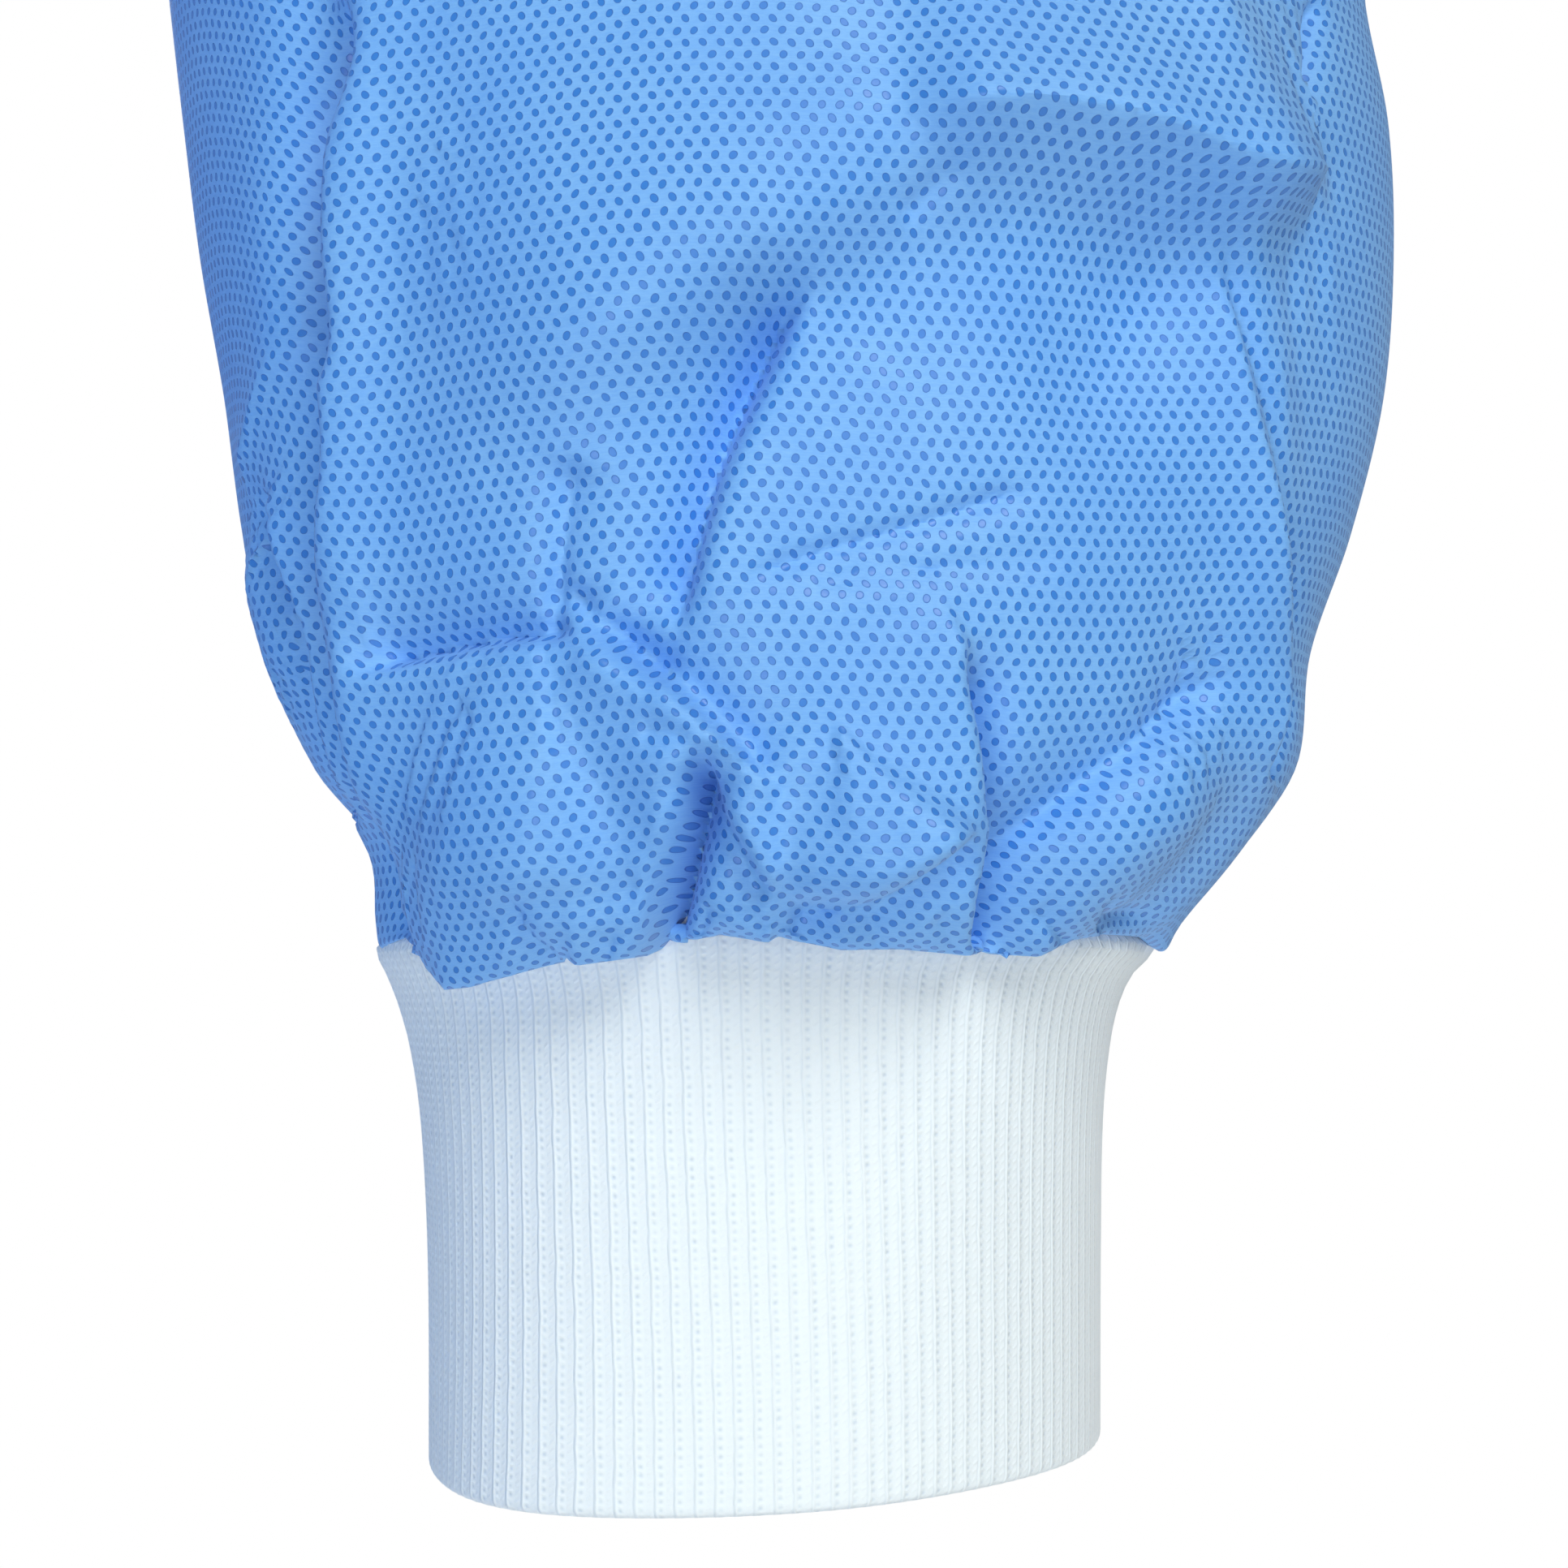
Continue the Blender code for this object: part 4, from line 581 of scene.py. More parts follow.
def cloth_material():
    made, n, shader = new_material("non_woven_cloth", CLOTH_COLOUR[:3], 0.6, Sheen_Weight=0.12,
                                   Sheen_Roughness=0.5, Sheen_Tint=(0.75, 0.88, 1.0, 1))
    uv, across, along = cloth_place(n, 420.0, 1.0, 0.00032)
    row = n.math("DIVIDE", along, BOND_ROW)
    odd = n.math("FLOORED_MODULO", n.math("FLOOR", row), 2.0)
    column = n.total((n.math("DIVIDE", across, BOND_PITCH), 1), (odd, 0.5))
    x, y = (n.math("MULTIPLY", n.math("SUBTRACT", n.math("FRACT", at), 0.5), pitch)
            for at, pitch in ((column, BOND_PITCH), (row, BOND_ROW)))
    lean = n.math("MULTIPLY", n.math("SUBTRACT", odd, 0.5), 2 * BOND_LEAN)
    cosine, sine = n.math("COSINE", lean), n.math("SINE", lean)
    short = n.math("SUBTRACT", n.math("MULTIPLY", x, cosine), n.math("MULTIPLY", y, sine))
    long = n.math("ADD", n.math("MULTIPLY", x, sine), n.math("MULTIPLY", y, cosine))
    short, long = (n.math("POWER", n.math("DIVIDE", off, half), 2.0)
                   for off, half in ((short, BOND_SHORT), (long, BOND_LONG)))
    radius = n.math("SQRT", n.math("ADD", short, long))
    bonded = n.ramp(radius, *BOND_EDGE)
    film = n.ramp(radius, *BOND_FILM)

    def drawn(lean, stretch, scale, detail):
        """Fibres drawn out in one direction."""
        place = n.add("ShaderNodeMapping", {"Vector": uv, "Rotation": (0, 0, lean),
                                            "Scale": (1.0, stretch, 1.0)}).outputs[0]
        return n.noise(place, scale, detail, 0.6)

    fibres = n.total((drawn(0.32, 7.0, 900.0, 3.0), 0.6), (drawn(-0.9, 6.0, 700.0, 2.0), 0.4))
    tone = n.total((fibres, 0.65), (n.noise(uv, 60.0, 3.0, 0.55), 0.35))
    plain = n.mix(n.ramp(tone, 0.34, 0.66), CLOTH_SHADE, CLOTH_COLOUR)
    colour = n.mix(bonded, plain, n.mix(film, BOND_RIM, BOND_COLOUR))
    n.tree.links.new(colour, shader.inputs["Base Color"])
    rough = n.math("ADD", n.total((fibres, 0.14), (film, -0.28)), 0.56)
    n.tree.links.new(rough, shader.inputs["Roughness"])
    dip = n.ramp(radius, *BOND_DIP)
    n.bump(n.total((fibres, 0.22), (bonded, -1.0), (dip, 0.25)), 0.55, 0.00013, shader)
    return made


cloth = cloth_material()


def sleeve_grid():
    """Angles and distances down the sleeve of the mesh's columns and rows."""
    back = np.pi + np.pi * np.arange(SLEEVE_BACK_STEPS) / SLEEVE_BACK_STEPS
    step = np.arange(SLEEVE_FRONT_STEPS + 1)
    turn = np.linspace(0, 180, 721)
    density = 1 + FINER_SHARE * bell(turn - FINER_AT, FINER_SPREAD)
    gone = np.insert(np.cumsum((density[1:] + density[:-1]) / 2), 0, 0)
    front = 2 * np.pi + np.radians(np.interp(step, gone / gone[-1] * SLEEVE_FRONT_STEPS, turn))
    upper = SLEEVE_END_START * np.arange(SLEEVE_UPPER_ROWS) / SLEEVE_UPPER_ROWS
    end = np.linspace(SLEEVE_END_START, SLEEVE_LENGTH - SLEEVE_MARGIN, SLEEVE_END_ROWS)
    down = np.concatenate([upper + SLEEVE_MARGIN * (upper == 0), end])[:, None]
    return np.concatenate([back, front])[None, :] + sleeve_seam_turn(down), down


def refined(shape, bend):
    """A grid's faces with those that bend most cut in four, as places in the grid and polygons."""
    rows, columns = shape
    grid = bmesh.new()
    corners = [[grid.verts.new((c, r, 0)) for c in range(columns)] for r in range(rows)]
    faces = {}
    for r in range(rows - 1):
        for c in range(columns - 1):
            faces[r, c] = grid.faces.new((corners[r][c], corners[r][c + 1],
                                          corners[r + 1][c + 1], corners[r + 1][c]))
    order = np.argsort(-bend, axis=None, kind="stable")[:REFINED_FACES]
    chosen = {faces[divmod(int(i), columns - 1)] for i in order}
    edges = sorted({e for face in chosen for e in face.edges},
                   key=lambda e: (*e.verts[0].co, *e.verts[1].co))
    bmesh.ops.subdivide_edges(grid, edges=edges, cuts=1, use_grid_fill=True)
    grid.verts.index_update()
    places = np.array([v.co[:2] for v in grid.verts])
    polygons = [tuple(v.index for v in f.verts) for f in grid.faces]
    grid.free()
    return places, polygons


def at_places(grid, places):
    """A grid's values read between its rows and columns."""
    c, r = places[:, 0], places[:, 1]
    c0 = np.minimum(c.astype(int), grid.shape[1] - 2)
    r0 = np.minimum(r.astype(int), grid.shape[0] - 2)
    s, t = c - c0, r - r0
    return ((grid[r0, c0] * (1 - s) + grid[r0, c0 + 1] * s) * (1 - t)
            + (grid[r0 + 1, c0] * (1 - s) + grid[r0 + 1, c0 + 1] * s) * t)


def bending(points, normals):
    """How sharply a grid of points bends at each of its faces."""
    bend = np.zeros(points.shape[:2])
    for axis in (0, 1):
        turn = np.linalg.norm(np.diff(normals, axis=axis), axis=-1)
        bend += np.concatenate([turn, np.take(turn, [-1], axis=axis)], axis=axis)
    return bend[:-1, :-1] + bend[1:, :-1] + bend[:-1, 1:] + bend[1:, 1:]


def grid_normals(points):
    run = np.gradient(points, axis=1)
    climb = np.gradient(points, axis=0)
    return unit(np.cross(run, climb))


def laid_flat(flat, points):
    """Cloth places of a grid, eased until the steps between them are as long as on the points."""
    ends = [((slice(None), slice(None, -1)), (slice(None), slice(1, None))),
            ((slice(None, -1), slice(None)), (slice(1, None), slice(None))),
            ((slice(None, -1), slice(None, -1)), (slice(1, None), slice(1, None))),
            ((slice(None, -1), slice(1, None)), (slice(1, None), slice(None, -1)))]
    lengths = [np.minimum(np.linalg.norm(points[b] - points[a], axis=-1),
                          EASING_MOST * np.linalg.norm(flat[b] - flat[a], axis=-1))
               for a, b in ends]
    for _ in range(EASING_ROUNDS):
        move = np.zeros_like(flat)
        for (a, b), length in zip(ends, lengths):
            step = flat[b] - flat[a]
            now = np.sqrt((step ** 2).sum(axis=-1))
            pull = step * (0.5 * (1 - length / now))[..., None]
            move[a] += pull
            move[b] -= pull
        flat = flat + EASING_SHARE * move
    return flat


# The sleeve's head goes in under the armhole's edge
HEAD_TUCK, HEAD_SINK = 0.0030, 0.0012


def make_sleeve(name, side, share):
    """A sleeve with its folds as high as share, side 1 for the left and -1 for the right."""
    angle, down = np.broadcast_arrays(*sleeve_grid())
    points = sleeve_form(angle, down, share)
    plain = sleeve_form(angle, down)
    u = lengths_along(plain, 1, int(np.argmin(np.abs(angle[0] - FRONT_MIDDLE))))
    v = lengths_along(plain, 0)
    flat = laid_flat(np.stack([u, v - v[-1:, :]], axis=-1), points)
    bend = bending(points, grid_normals(points))
    bend *= np.where(np.sin(angle[:-1, :-1]) > BACK_BEND_FROM, 1.0, BACK_BEND_SHARE)
    places, polygons = refined(points.shape[:2], bend)
    points = sleeve_form(at_places(angle, places), at_places(down, places), share)
    head = places[:, 1] == 0
    points[head] += HEAD_SINK * unit(points[head].mean(axis=0) - points[head]) - (HEAD_TUCK, 0, 0)
    last = places[:, 0] == angle.shape[1] - 1
    first = places[:, 0] == 0
    by_row = dict(zip(places[first, 1], np.flatnonzero(first)))
    welded = np.arange(len(places))
    welded[last] = [by_row[row] for row in places[last, 1]]
    u, v = at_places(flat[..., 0], places) * side, at_places(flat[..., 1], places)
    if side < 0:
        points[:, 0] *= -1
        polygons = [p[::-1] for p in polygons]
    used, compact = np.unique(welded, return_inverse=True)
    faces = [tuple(compact[list(p)]) for p in polygons]
    made = shell(name, points[used], faces, np.stack([u, v], axis=-1), polygons, CLOTH, cloth)
    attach(made, "root")
    return made


sleeve_left = make_sleeve("sleeve_cloth_left", 1, 1.0)
sleeve_right = make_sleeve("sleeve_cloth_right", -1, RIGHT_SLEEVE_SHARE)
for piece, node, front in ((sleeve_left, "sleeve_left", "front_left"),
                           (sleeve_right, "sleeve_right", "front_right")):
    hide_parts(node)

# Cuffs
# Tubes of white rib knit, folded double at the lower edge and sewn to the gathered sleeve ends.
# The ribs stand up from the knit and lean a little where the cuff flares to the seam.

KNIT = 0.0012
CUFF = table(
    "fall outer inner front back share",
    (-0.0048, 0.0420, 0.0418, 0.0398, 0.0386, 0.0),
    (-0.0012, 0.0454, 0.0452, 0.0404, 0.0392, 0.0),
    (0.0002, 0.0462, 0.0462, 0.0406, 0.0394, 0.0),
    (0.0030, 0.0436, 0.0450, 0.0403, 0.0390, 0.0),
    (0.0062, 0.0421, 0.0437, 0.0398, 0.0384, 0.0),
    (0.0110, 0.0410, 0.0422, 0.0393, 0.0374, 0.2),
    (0.0200, 0.0401, 0.0408, 0.0388, 0.0366, 0.4),
    (0.0360, 0.0398, 0.0399, 0.0384, 0.0360, 0.7),
    (0.0595, 0.0397, 0.0397, 0.0382, 0.0360, 1.0),
)
CUFF_TOP_SIDE, CUFF_TOP_MIDDLE = 0.0010, 0.0045
CUFF_EDGE_LEAN = 0.0013
CUFF_BULGES = table("angle spread out", (130, 26, 0.0036), (52, 26, -0.0014), (318, 30, 0.0016))
CUFF_LENGTH, CUFF_ROUND = 0.0595, 0.0012
CUFF_ROWS, ROUND_ROWS, CUFF_ROWS_DRIFT = 34, 6, 1.25
WALES, STEPS_PER_WALE, WALE_WIDTH, WALE_HEIGHT, WALE_PEAK = 118, 6, 0.0021, 0.00010, 1.5
WALE_FLARE, WALE_FLARE_REACH, WALE_TWIST = 0.05, 0.012, 0.035
COURSE = 0.00093
# Across a wale, as shares of its width: the middle and spread of its rib, the groove beside the
# rib, the slanting legs of the loops, the dashes between them and the holes
RIB, GROOVE, LEGS = (0.50, 0.085), (0.64, 0.05), (0.88, 0.17)
DASHES, HOLES = (0.30, 0.13), (0.30, 0.11)
KNIT_COLOUR = (0.845, 0.940, 0.975, 1)
# The second knit colour is painted shade, laid into the knit's holes and the groove beside each rib
KNIT_PAINTED_SHADE = (0.560, 0.680, 0.790, 1)


def cuff_form(angle, fall, rib):
    """Points of the left cuff's outside, with its ribs standing out from it."""
    half_wide = np.where(np.cos(angle) > 0, read(CUFF, fall, "outer"), read(CUFF, fall, "inner"))
    half_deep = np.where(np.sin(angle) > 0, read(CUFF, fall, "front"), read(CUFF, fall, "back"))
    share = read(CUFF, fall, "share")
    bulge = share * sum(
        b.out * bell(round_gap(np.degrees(angle), b.angle, 360), b.spread) for b in CUFF_BULGES)
    lean = share * CUFF_EDGE_LEAN * np.cos(angle) + (1 - share) * CUFF_SEAM_LIFT * np.sin(angle)
    turn_under = np.maximum(fall - (CUFF_LENGTH - CUFF_ROUND), 0) / CUFF_ROUND
    bulge = bulge + rib - CUFF_ROUND * (1 - np.sqrt(np.maximum(1 - turn_under ** 2, 0)))
    return np.stack([WRIST_X + (half_wide + bulge) * np.cos(angle),
                     WRIST_Y - (half_deep + bulge) * np.sin(angle),
                     CUFF_SEAM_Z - fall + lean], axis=-1)


def knit_material():
    made, n, shader = new_material("rib_knit", KNIT_COLOUR[:3], 0.82, Sheen_Weight=0.35,
                                   Sheen_Roughness=0.45, Subsurface_Weight=0.15)
    shader.inputs["Subsurface Radius"].default_value = (0.0012, 0.0014, 0.0016)
    shader.inputs["Subsurface Scale"].default_value = 1.0
    uv, across, along = cloth_place(n, 300.0, 2.0, 0.00042)
    wale = n.math("FRACT", n.math("DIVIDE", across, WALE_WIDTH))
    course = n.math("FRACT", n.math("DIVIDE", along, COURSE))

    def lobe(value, middle, spread):
        off = n.math("DIVIDE", n.math("SUBTRACT", value, middle), spread)
        return n.math("EXPONENT", n.math("MULTIPLY", n.math("MULTIPLY", off, off), -1.0))

    slant = n.math("FRACT", n.total((course, 1), (wale, 1.3)))
    legs = n.math("MULTIPLY", lobe(slant, 0.5, 0.20), lobe(wale, *LEGS))
    dashes = n.math("MULTIPLY", lobe(course, 0.5, 0.17), lobe(wale, *DASHES))
    above, below = (n.math("MULTIPLY", lobe(course, middle, 0.20), lobe(wale, *HOLES))
                    for middle in (0.98, 0.02))
    # The holes and the groove beside the rib sink in the bump, and are also darkened here as
    # painted shade
    pits = n.total((above, 1), (below, 1), (lobe(wale, *GROOVE), 0.45))
    pits = n.math("MULTIPLY", pits, n.ramp(n.noise(uv, 520.0, 2.0), 0.25, 0.75, 0.35, 1.25))
    colour = n.mix(n.math("MULTIPLY", pits, 0.55), KNIT_COLOUR, KNIT_PAINTED_SHADE)
    n.tree.links.new(colour, shader.inputs["Base Color"])
    high = n.total((lobe(wale, *RIB), 1), (legs, 0.7), (dashes, 0.6))
    hairs = n.noise(uv, 2600.0, 2.0, 0.7)
    n.bump(n.total((high, 1), (pits, -1.0), (hairs, 0.35)), 0.5, 0.00016, shader)
    return made


knit = knit_material()


def make_cuff(name, side):
    columns = WALES * STEPS_PER_WALE
    turn = 2 * np.pi * np.arange(columns + 1)[None, :] / columns
    top = -(CUFF_TOP_SIDE * np.cos(turn) ** 2 + CUFF_TOP_MIDDLE * np.sin(turn) ** 2)
    straight = np.linspace(0, 1, CUFF_ROWS - ROUND_ROWS)[:, None] ** CUFF_ROWS_DRIFT
    straight = top + (CUFF_LENGTH - CUFF_ROUND - top) * straight
    quarter = np.linspace(0, np.pi / 2, ROUND_ROWS + 1)[1:, None]
    rounding = CUFF_LENGTH - CUFF_ROUND * (1 - np.sin(quarter))
    fall = np.concatenate([straight, rounding + 0 * turn])
    lean = (WALE_FLARE * bell(fall, WALE_FLARE_REACH) * np.cos(turn)
            - WALE_TWIST * ease(fall / CUFF_LENGTH))
    wave = turn * WALES / (2 * np.pi)
    rib = WALE_HEIGHT * (0.5 + 0.5 * np.cos(2 * np.pi * (wave - 0.5))) ** WALE_PEAK
    points = cuff_form(turn + lean, fall, rib)
    u = turn / (2 * np.pi) * WALES * WALE_WIDTH + 0 * fall
    v = -fall + 0 * turn
    points = points[:, :-1]
    if side < 0:
        points[..., 0] *= -1
    faces, corners = grid_faces(*points.shape[:2], closed=True, flip=side < 0)
    uv = np.stack([u, v], axis=-1).reshape(-1, 2)
    made = shell(name, points.reshape(-1, 3), faces, uv, corners, KNIT, knit)
    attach(made, "root")
    return made


for name, node, sleeve, side in (("cuff_knit_left", "cuff_left", "sleeve_left", 1),
                                 ("cuff_knit_right", "cuff_right", "sleeve_right", -1)):
    cuff = make_cuff(name, side)
    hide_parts(node)

# Fronts and back
# One back and two fronts, joined by plain seams at the sides and shoulders. The left front laps
# over the right one, and the hem and both placket edges are turned in and stitched.

NECK_HALF_WIDTH, NECK_POWER = 0.082, 1.5
NECK = dict(zip(("front", "back"), table("reach drop first_row", (0.078, 0.072, 14),
                                         (0.062, 0.012, 16))))
BODY_HALF_WIDTH, BODY_HALF_DEPTH = 0.25, 0.145
UNDERARM_ROW, SHOULDER_ROW = 6, 20
FACING = {"front": -1.0, "back": 1.0}
BOXINESS, SHOULDER_SLOPE, SHOULDER_TURN, SHOULDER_REACH, NECK_SLOPE = 1.8, 0.36, 1.2, 0.9, 0.10
PLACKET_HALF_WIDTH, PLACKET_STEP, PLACKET_STEP_FADE_ROWS = 0.018, 0.002, 2
CENTRE_LINE = {
    "front": table(
        "row z y", (0, -0.755, -0.150), (3, -0.530, -0.153), (6, -0.300, -0.151),
        (8, -0.243, -0.144), (10, -0.186, -0.130), (12, -0.129, -0.107), (14, -0.072, -0.078),
    ),
    "back": table(
        "row z y", (0, -0.755, 0.140), (3, -0.520, 0.143), (6, -0.288, 0.141),
        (9, -0.205, 0.134), (12, -0.120, 0.112), (14, -0.064, 0.088), (16, -0.012, 0.062),
    ),
}
SIDE_SEAM = table("row x z", (0, 0.268, -0.755), (2, 0.261, -0.600), (4, 0.252, -0.430),
                  (6, 0.245, -0.268))
BODY_FOLD_DEPTH, BODY_FOLD_TOP_ROW, BODY_FOLDS_PER_QUARTER = 0.014, 12.0, 2
BODY_FOLD_PHASE = {1: 0.4, -1: 1.3}
BODY_COLUMNS, BODY_ROWS_PER_ROW = 96, 8

# Creases of the fronts and back, in millimetres: across from the middle towards the jacket's left,
# and up from the shoulders, so all of it lies below nought. The relief makes them all higher.
PANEL_RELIEF, PANEL_PEAK = 1.7, 1.6
FRONT_CREASES = table(
    CREASE,
    (-2.2, 6, 10, ((224, -262), (186, -304), (132, -330))),
    (1.6, 9, 6, ((214, -246), (176, -282), (126, -306))),
    (-1.8, 5, 10, ((218, -296), (196, -372), (150, -440))),
    (1.2, 8, 8, ((186, -300), (168, -378), (128, -452))),
    (-2.0, 6, 10, ((-222, -258), (-180, -296), (-118, -312))),
    (1.5, 8, 7, ((-212, -240), (-172, -274), (-116, -286))),
    (-1.6, 6, 9, ((-216, -300), (-186, -390), (-146, -466))),
    (-1.5, 4, 6, ((30, -128), (74, -150), (122, -196))),
    (1.0, 7, 7, ((26, -146), (66, -172), (108, -220))),
    (-1.3, 4, 6, ((-32, -140), (-70, -168), (-120, -186))),
    (-1.2, 4, 6, ((24, -246), (58, -256), (100, -246))),
    (-1.1, 4, 6, ((-26, -250), (-64, -268), (-98, -262))),
    (-1.3, 4, 6, ((26, -366), (66, -384), (118, -378))),
    (-1.0, 4, 6, ((-28, -370), (-74, -380), (-110, -396))),
    (-1.1, 5, 6, ((24, -486), (60, -506), (92, -540))),
    (-1.0, 5, 6, ((-26, -490), (-58, -500), (-104, -530))),
    (1.0, 3.0, 3.0, ((134, -770), (132, -520), (130, -300))),
    (0.9, 3.0, 3.0, ((-132, -770), (-131, -500), (-128, -280))),
    (1.0, 3.0, 3.0, ((-262, -510), (-140, -508), (-22, -507))),
    (1.0, 3.0, 3.0, ((22, -506), (150, -508), (262, -511))),
    (-1.5, 6, 10, ((196, -560), (188, -650), (204, -750))),
    (-1.3, 6, 10, ((-170, -540), (-160, -650), (-182, -752))),
    (1.1, 9, 9, ((72, -580), (84, -670), (76, -756))),
    (-1.1, 7, 7, ((-88, -600), (-76, -680), (-92, -756))),
    (-1.4, 5, 8, ((196, -92), (160, -112), (118, -120))),
    (-1.3, 5, 8, ((-192, -96), (-154, -118), (-112, -126))),
    (-0.9, 4, 6, ((150, -156), (170, -200), (200, -232))),
)
BACK_CREASES = table(
    CREASE,
    (-2.2, 6, 10, ((222, -256), (172, -282), (110, -280))),
    (1.6, 9, 7, ((214, -240), (164, -262), (104, -258))),
    (-2.0, 6, 10, ((-224, -260), (-178, -292), (-120, -300))),
    (1.4, 8, 7, ((-214, -242), (-168, -270), (-112, -276))),
    (-1.7, 6, 9, ((214, -296), (184, -376), (148, -452))),
    (-1.6, 6, 9, ((-214, -300), (-176, -384), (-150, -470))),
    (-1.4, 6, 8, ((150, -110), (60, -134), (-70, -128))),
    (1.1, 9, 9, ((120, -132), (20, -158), (-110, -146))),
    (-1.2, 5, 8, ((-60, -196), (20, -212), (110, -200))),
    (1.0, 3.0, 3.0, ((131, -770), (130, -520), (126, -270))),
    (1.0, 3.0, 3.0, ((-131, -770), (-131, -520), (-128, -290))),
    (1.1, 3.0, 3.0, ((-262, -512), (0, -506), (262, -510))),
    (0.8, 2.6, 2.6, ((-236, -262), (0, -256), (236, -260))),
    (-1.4, 6, 9, ((40, -420), (54, -560), (34, -700))),
    (1.1, 9, 9, ((-18, -400), (-30, -560), (-14, -730))),
    (-1.3, 6, 9, ((-96, -440), (-78, -600), (-98, -752))),
    (-1.3, 6, 9, ((168, -560), (156, -660), (176, -752))),
    (-1.1, 5, 8, ((-188, -560), (-196, -660), (-180, -752))),
    (-1.3, 5, 8, ((190, -84), (150, -104), (104, -112))),
    (-1.2, 5, 8, ((-188, -90), (-146, -108), (-98, -110))),
)
SIDE_EASING, CENTRE_EASING, CENTRE_LEAST, SHOULDER_EASING_ROWS = 8, 30, 0.3, 2
# Turned edges stand a cloth's thickness prouder as far as their stitching, which sinks in
HEM_DEPTH, EDGE_LIFT, EDGE_SLOPE = 0.020, 0.0005, 0.0012
STITCH_SINK, STITCH_SPREAD, PLACKET_SINK_SHARE = 0.0006, 0.0010, 0.6
SEAM_DEPTH, SEAM_SPREAD = 0.0010, 0.0018
PLACKET_STEP_OUT, PLACKET_STEP_SLOPE, PLACKET_COLUMNS = 1.9, 0.9, 9


def side_edge(row, half):
    """The outer edge of a body half: the side seam, then the armhole."""
    turn = np.pi * (row - UNDERARM_ROW) / (SHOULDER_ROW - UNDERARM_ROW)
    ring = SLEEVE[0]
    angle = np.pi + FACING[half] * np.clip(turn, 0, np.pi)
    tilt, across, forward = math.radians(ring.tilt), np.cos(angle), np.sin(angle)
    armhole = np.stack([
        ring.x + math.cos(tilt) * ring.outer * across - ARMHOLE_BOW * forward ** 2,
        -ring.front * forward,
        ring.z + math.sin(tilt) * ring.outer * across], axis=-1)
    seam = np.stack([read(SIDE_SEAM, row, "x"), 0 * row, read(SIDE_SEAM, row, "z")], axis=-1)
    return np.where((row <= UNDERARM_ROW)[..., None], seam, armhole)


def centre_edge(row, half):
    """The inner edge of a body half: the centre line, then the neck edge."""
    neck = NECK[half]
    turn = np.pi / 2 * (row - neck.first_row) / (SHOULDER_ROW - neck.first_row)
    turn = np.clip(turn, 0, np.pi / 2)
    edge = np.stack([NECK_HALF_WIDTH * np.sin(turn), FACING[half] * neck.reach * np.cos(turn),
                     -neck.drop * np.maximum(np.cos(turn), 0) ** NECK_POWER], axis=-1)
    line = np.stack([0 * row, read(CENTRE_LINE[half], row, "y"), read(CENTRE_LINE[half], row, "z")],
                    axis=-1)
    return np.where((row <= neck.first_row)[..., None], line, edge)


def body_form(u, row, half, side):
    """Points of the body, u from the centre or neck edge to the outer edge."""
    u, row = np.broadcast_arrays(np.asarray(u, float), np.asarray(row, float))
    start, end = centre_edge(row, half), side_edge(row, half)
    length = np.linalg.norm(end - start, axis=-1)
    climb = ease((row - UNDERARM_ROW) / (SHOULDER_ROW - UNDERARM_ROW))
    turn = np.radians(90) * (1 - climb) ** SHOULDER_TURN
    out = BOXINESS * end[..., 0] * (1 - climb) + length * climb
    leave = np.stack([out, 0 * out, -NECK_SLOPE * climb * out], axis=-1)
    reach = BOXINESS * np.abs(start[..., 1]) * (1 - climb) + SHOULDER_REACH * length * climb
    arrive = np.stack([np.cos(turn) * reach, -FACING[half] * np.sin(turn) * reach,
                       -SHOULDER_SLOPE * climb ** 2 * reach], axis=-1)
    t = u[..., None]
    points = between(start, leave, end, arrive, t)
    quarter = u * np.pi / 2
    round_body = quarter if half == "front" else np.pi - quarter
    wave = np.sin(round_body) * np.cos(
        round_body * 4 * BODY_FOLDS_PER_QUARTER + BODY_FOLD_PHASE[side])
    outward = unit(np.stack([points[..., 0] / BODY_HALF_WIDTH ** 2,
                             points[..., 1] / BODY_HALF_DEPTH ** 2, 0 * u], axis=-1))
    top = BODY_FOLD_TOP_ROW * (1 - u) + (UNDERARM_ROW - 1) * u
    fade = np.maximum(1 - row / top, 0)
    points += outward * (BODY_FOLD_DEPTH * wave * fade)[..., None]
    points[..., 0] *= side
    return points


def turned_edge(distance, depth, sink=STITCH_SINK):
    """Relief of an edge turned in to a depth and stitched there, at distances from the edge."""
    return (EDGE_LIFT * ease((depth + EDGE_SLOPE / 2 - distance) / EDGE_SLOPE)
            - sink * bell(distance - depth, STITCH_SPREAD))


def panel_relief(points, u, row, half):
    """Creases, the hem and sunk seams of a body panel, in metres."""
    creases = FRONT_CREASES if half == "front" else BACK_CREASES
    across, up = points[..., 0] * 1000, points[..., 2] * 1000
    relief = PANEL_RELIEF * creased(creases, across, up, PANEL_PEAK)
    relief *= (ease(np.minimum((1 - u) * SIDE_EASING, 1))
               * ease(np.minimum(u * CENTRE_EASING + CENTRE_LEAST, 1)))
    relief *= ease((SHOULDER_ROW - row) / SHOULDER_EASING_ROWS)
    relief += turned_edge(points[..., 2] - points[:1, :, 2], HEM_DEPTH)
    for seam in (points[:, -1:], points[-1:]):
        relief -= SEAM_DEPTH * bell(np.linalg.norm(points - seam, axis=-1), SEAM_SPREAD)
    return relief


def body_half(half, side):
    """One half of a body panel as a grid of points from the hem up, with its normals and rows."""
    rows = np.linspace(0, SHOULDER_ROW, SHOULDER_ROW * BODY_ROWS_PER_ROW + 1)[:, None]
    u = np.linspace(0, 1, BODY_COLUMNS + 1)[None, :]
    u, rows = np.broadcast_arrays(u, rows)
    points = body_form(u, rows, half, side)
    normals = grid_normals(points) * -FACING[half] * side
    points = points + normals * panel_relief(points, u, rows, half)[..., None]
    return points, normals, rows


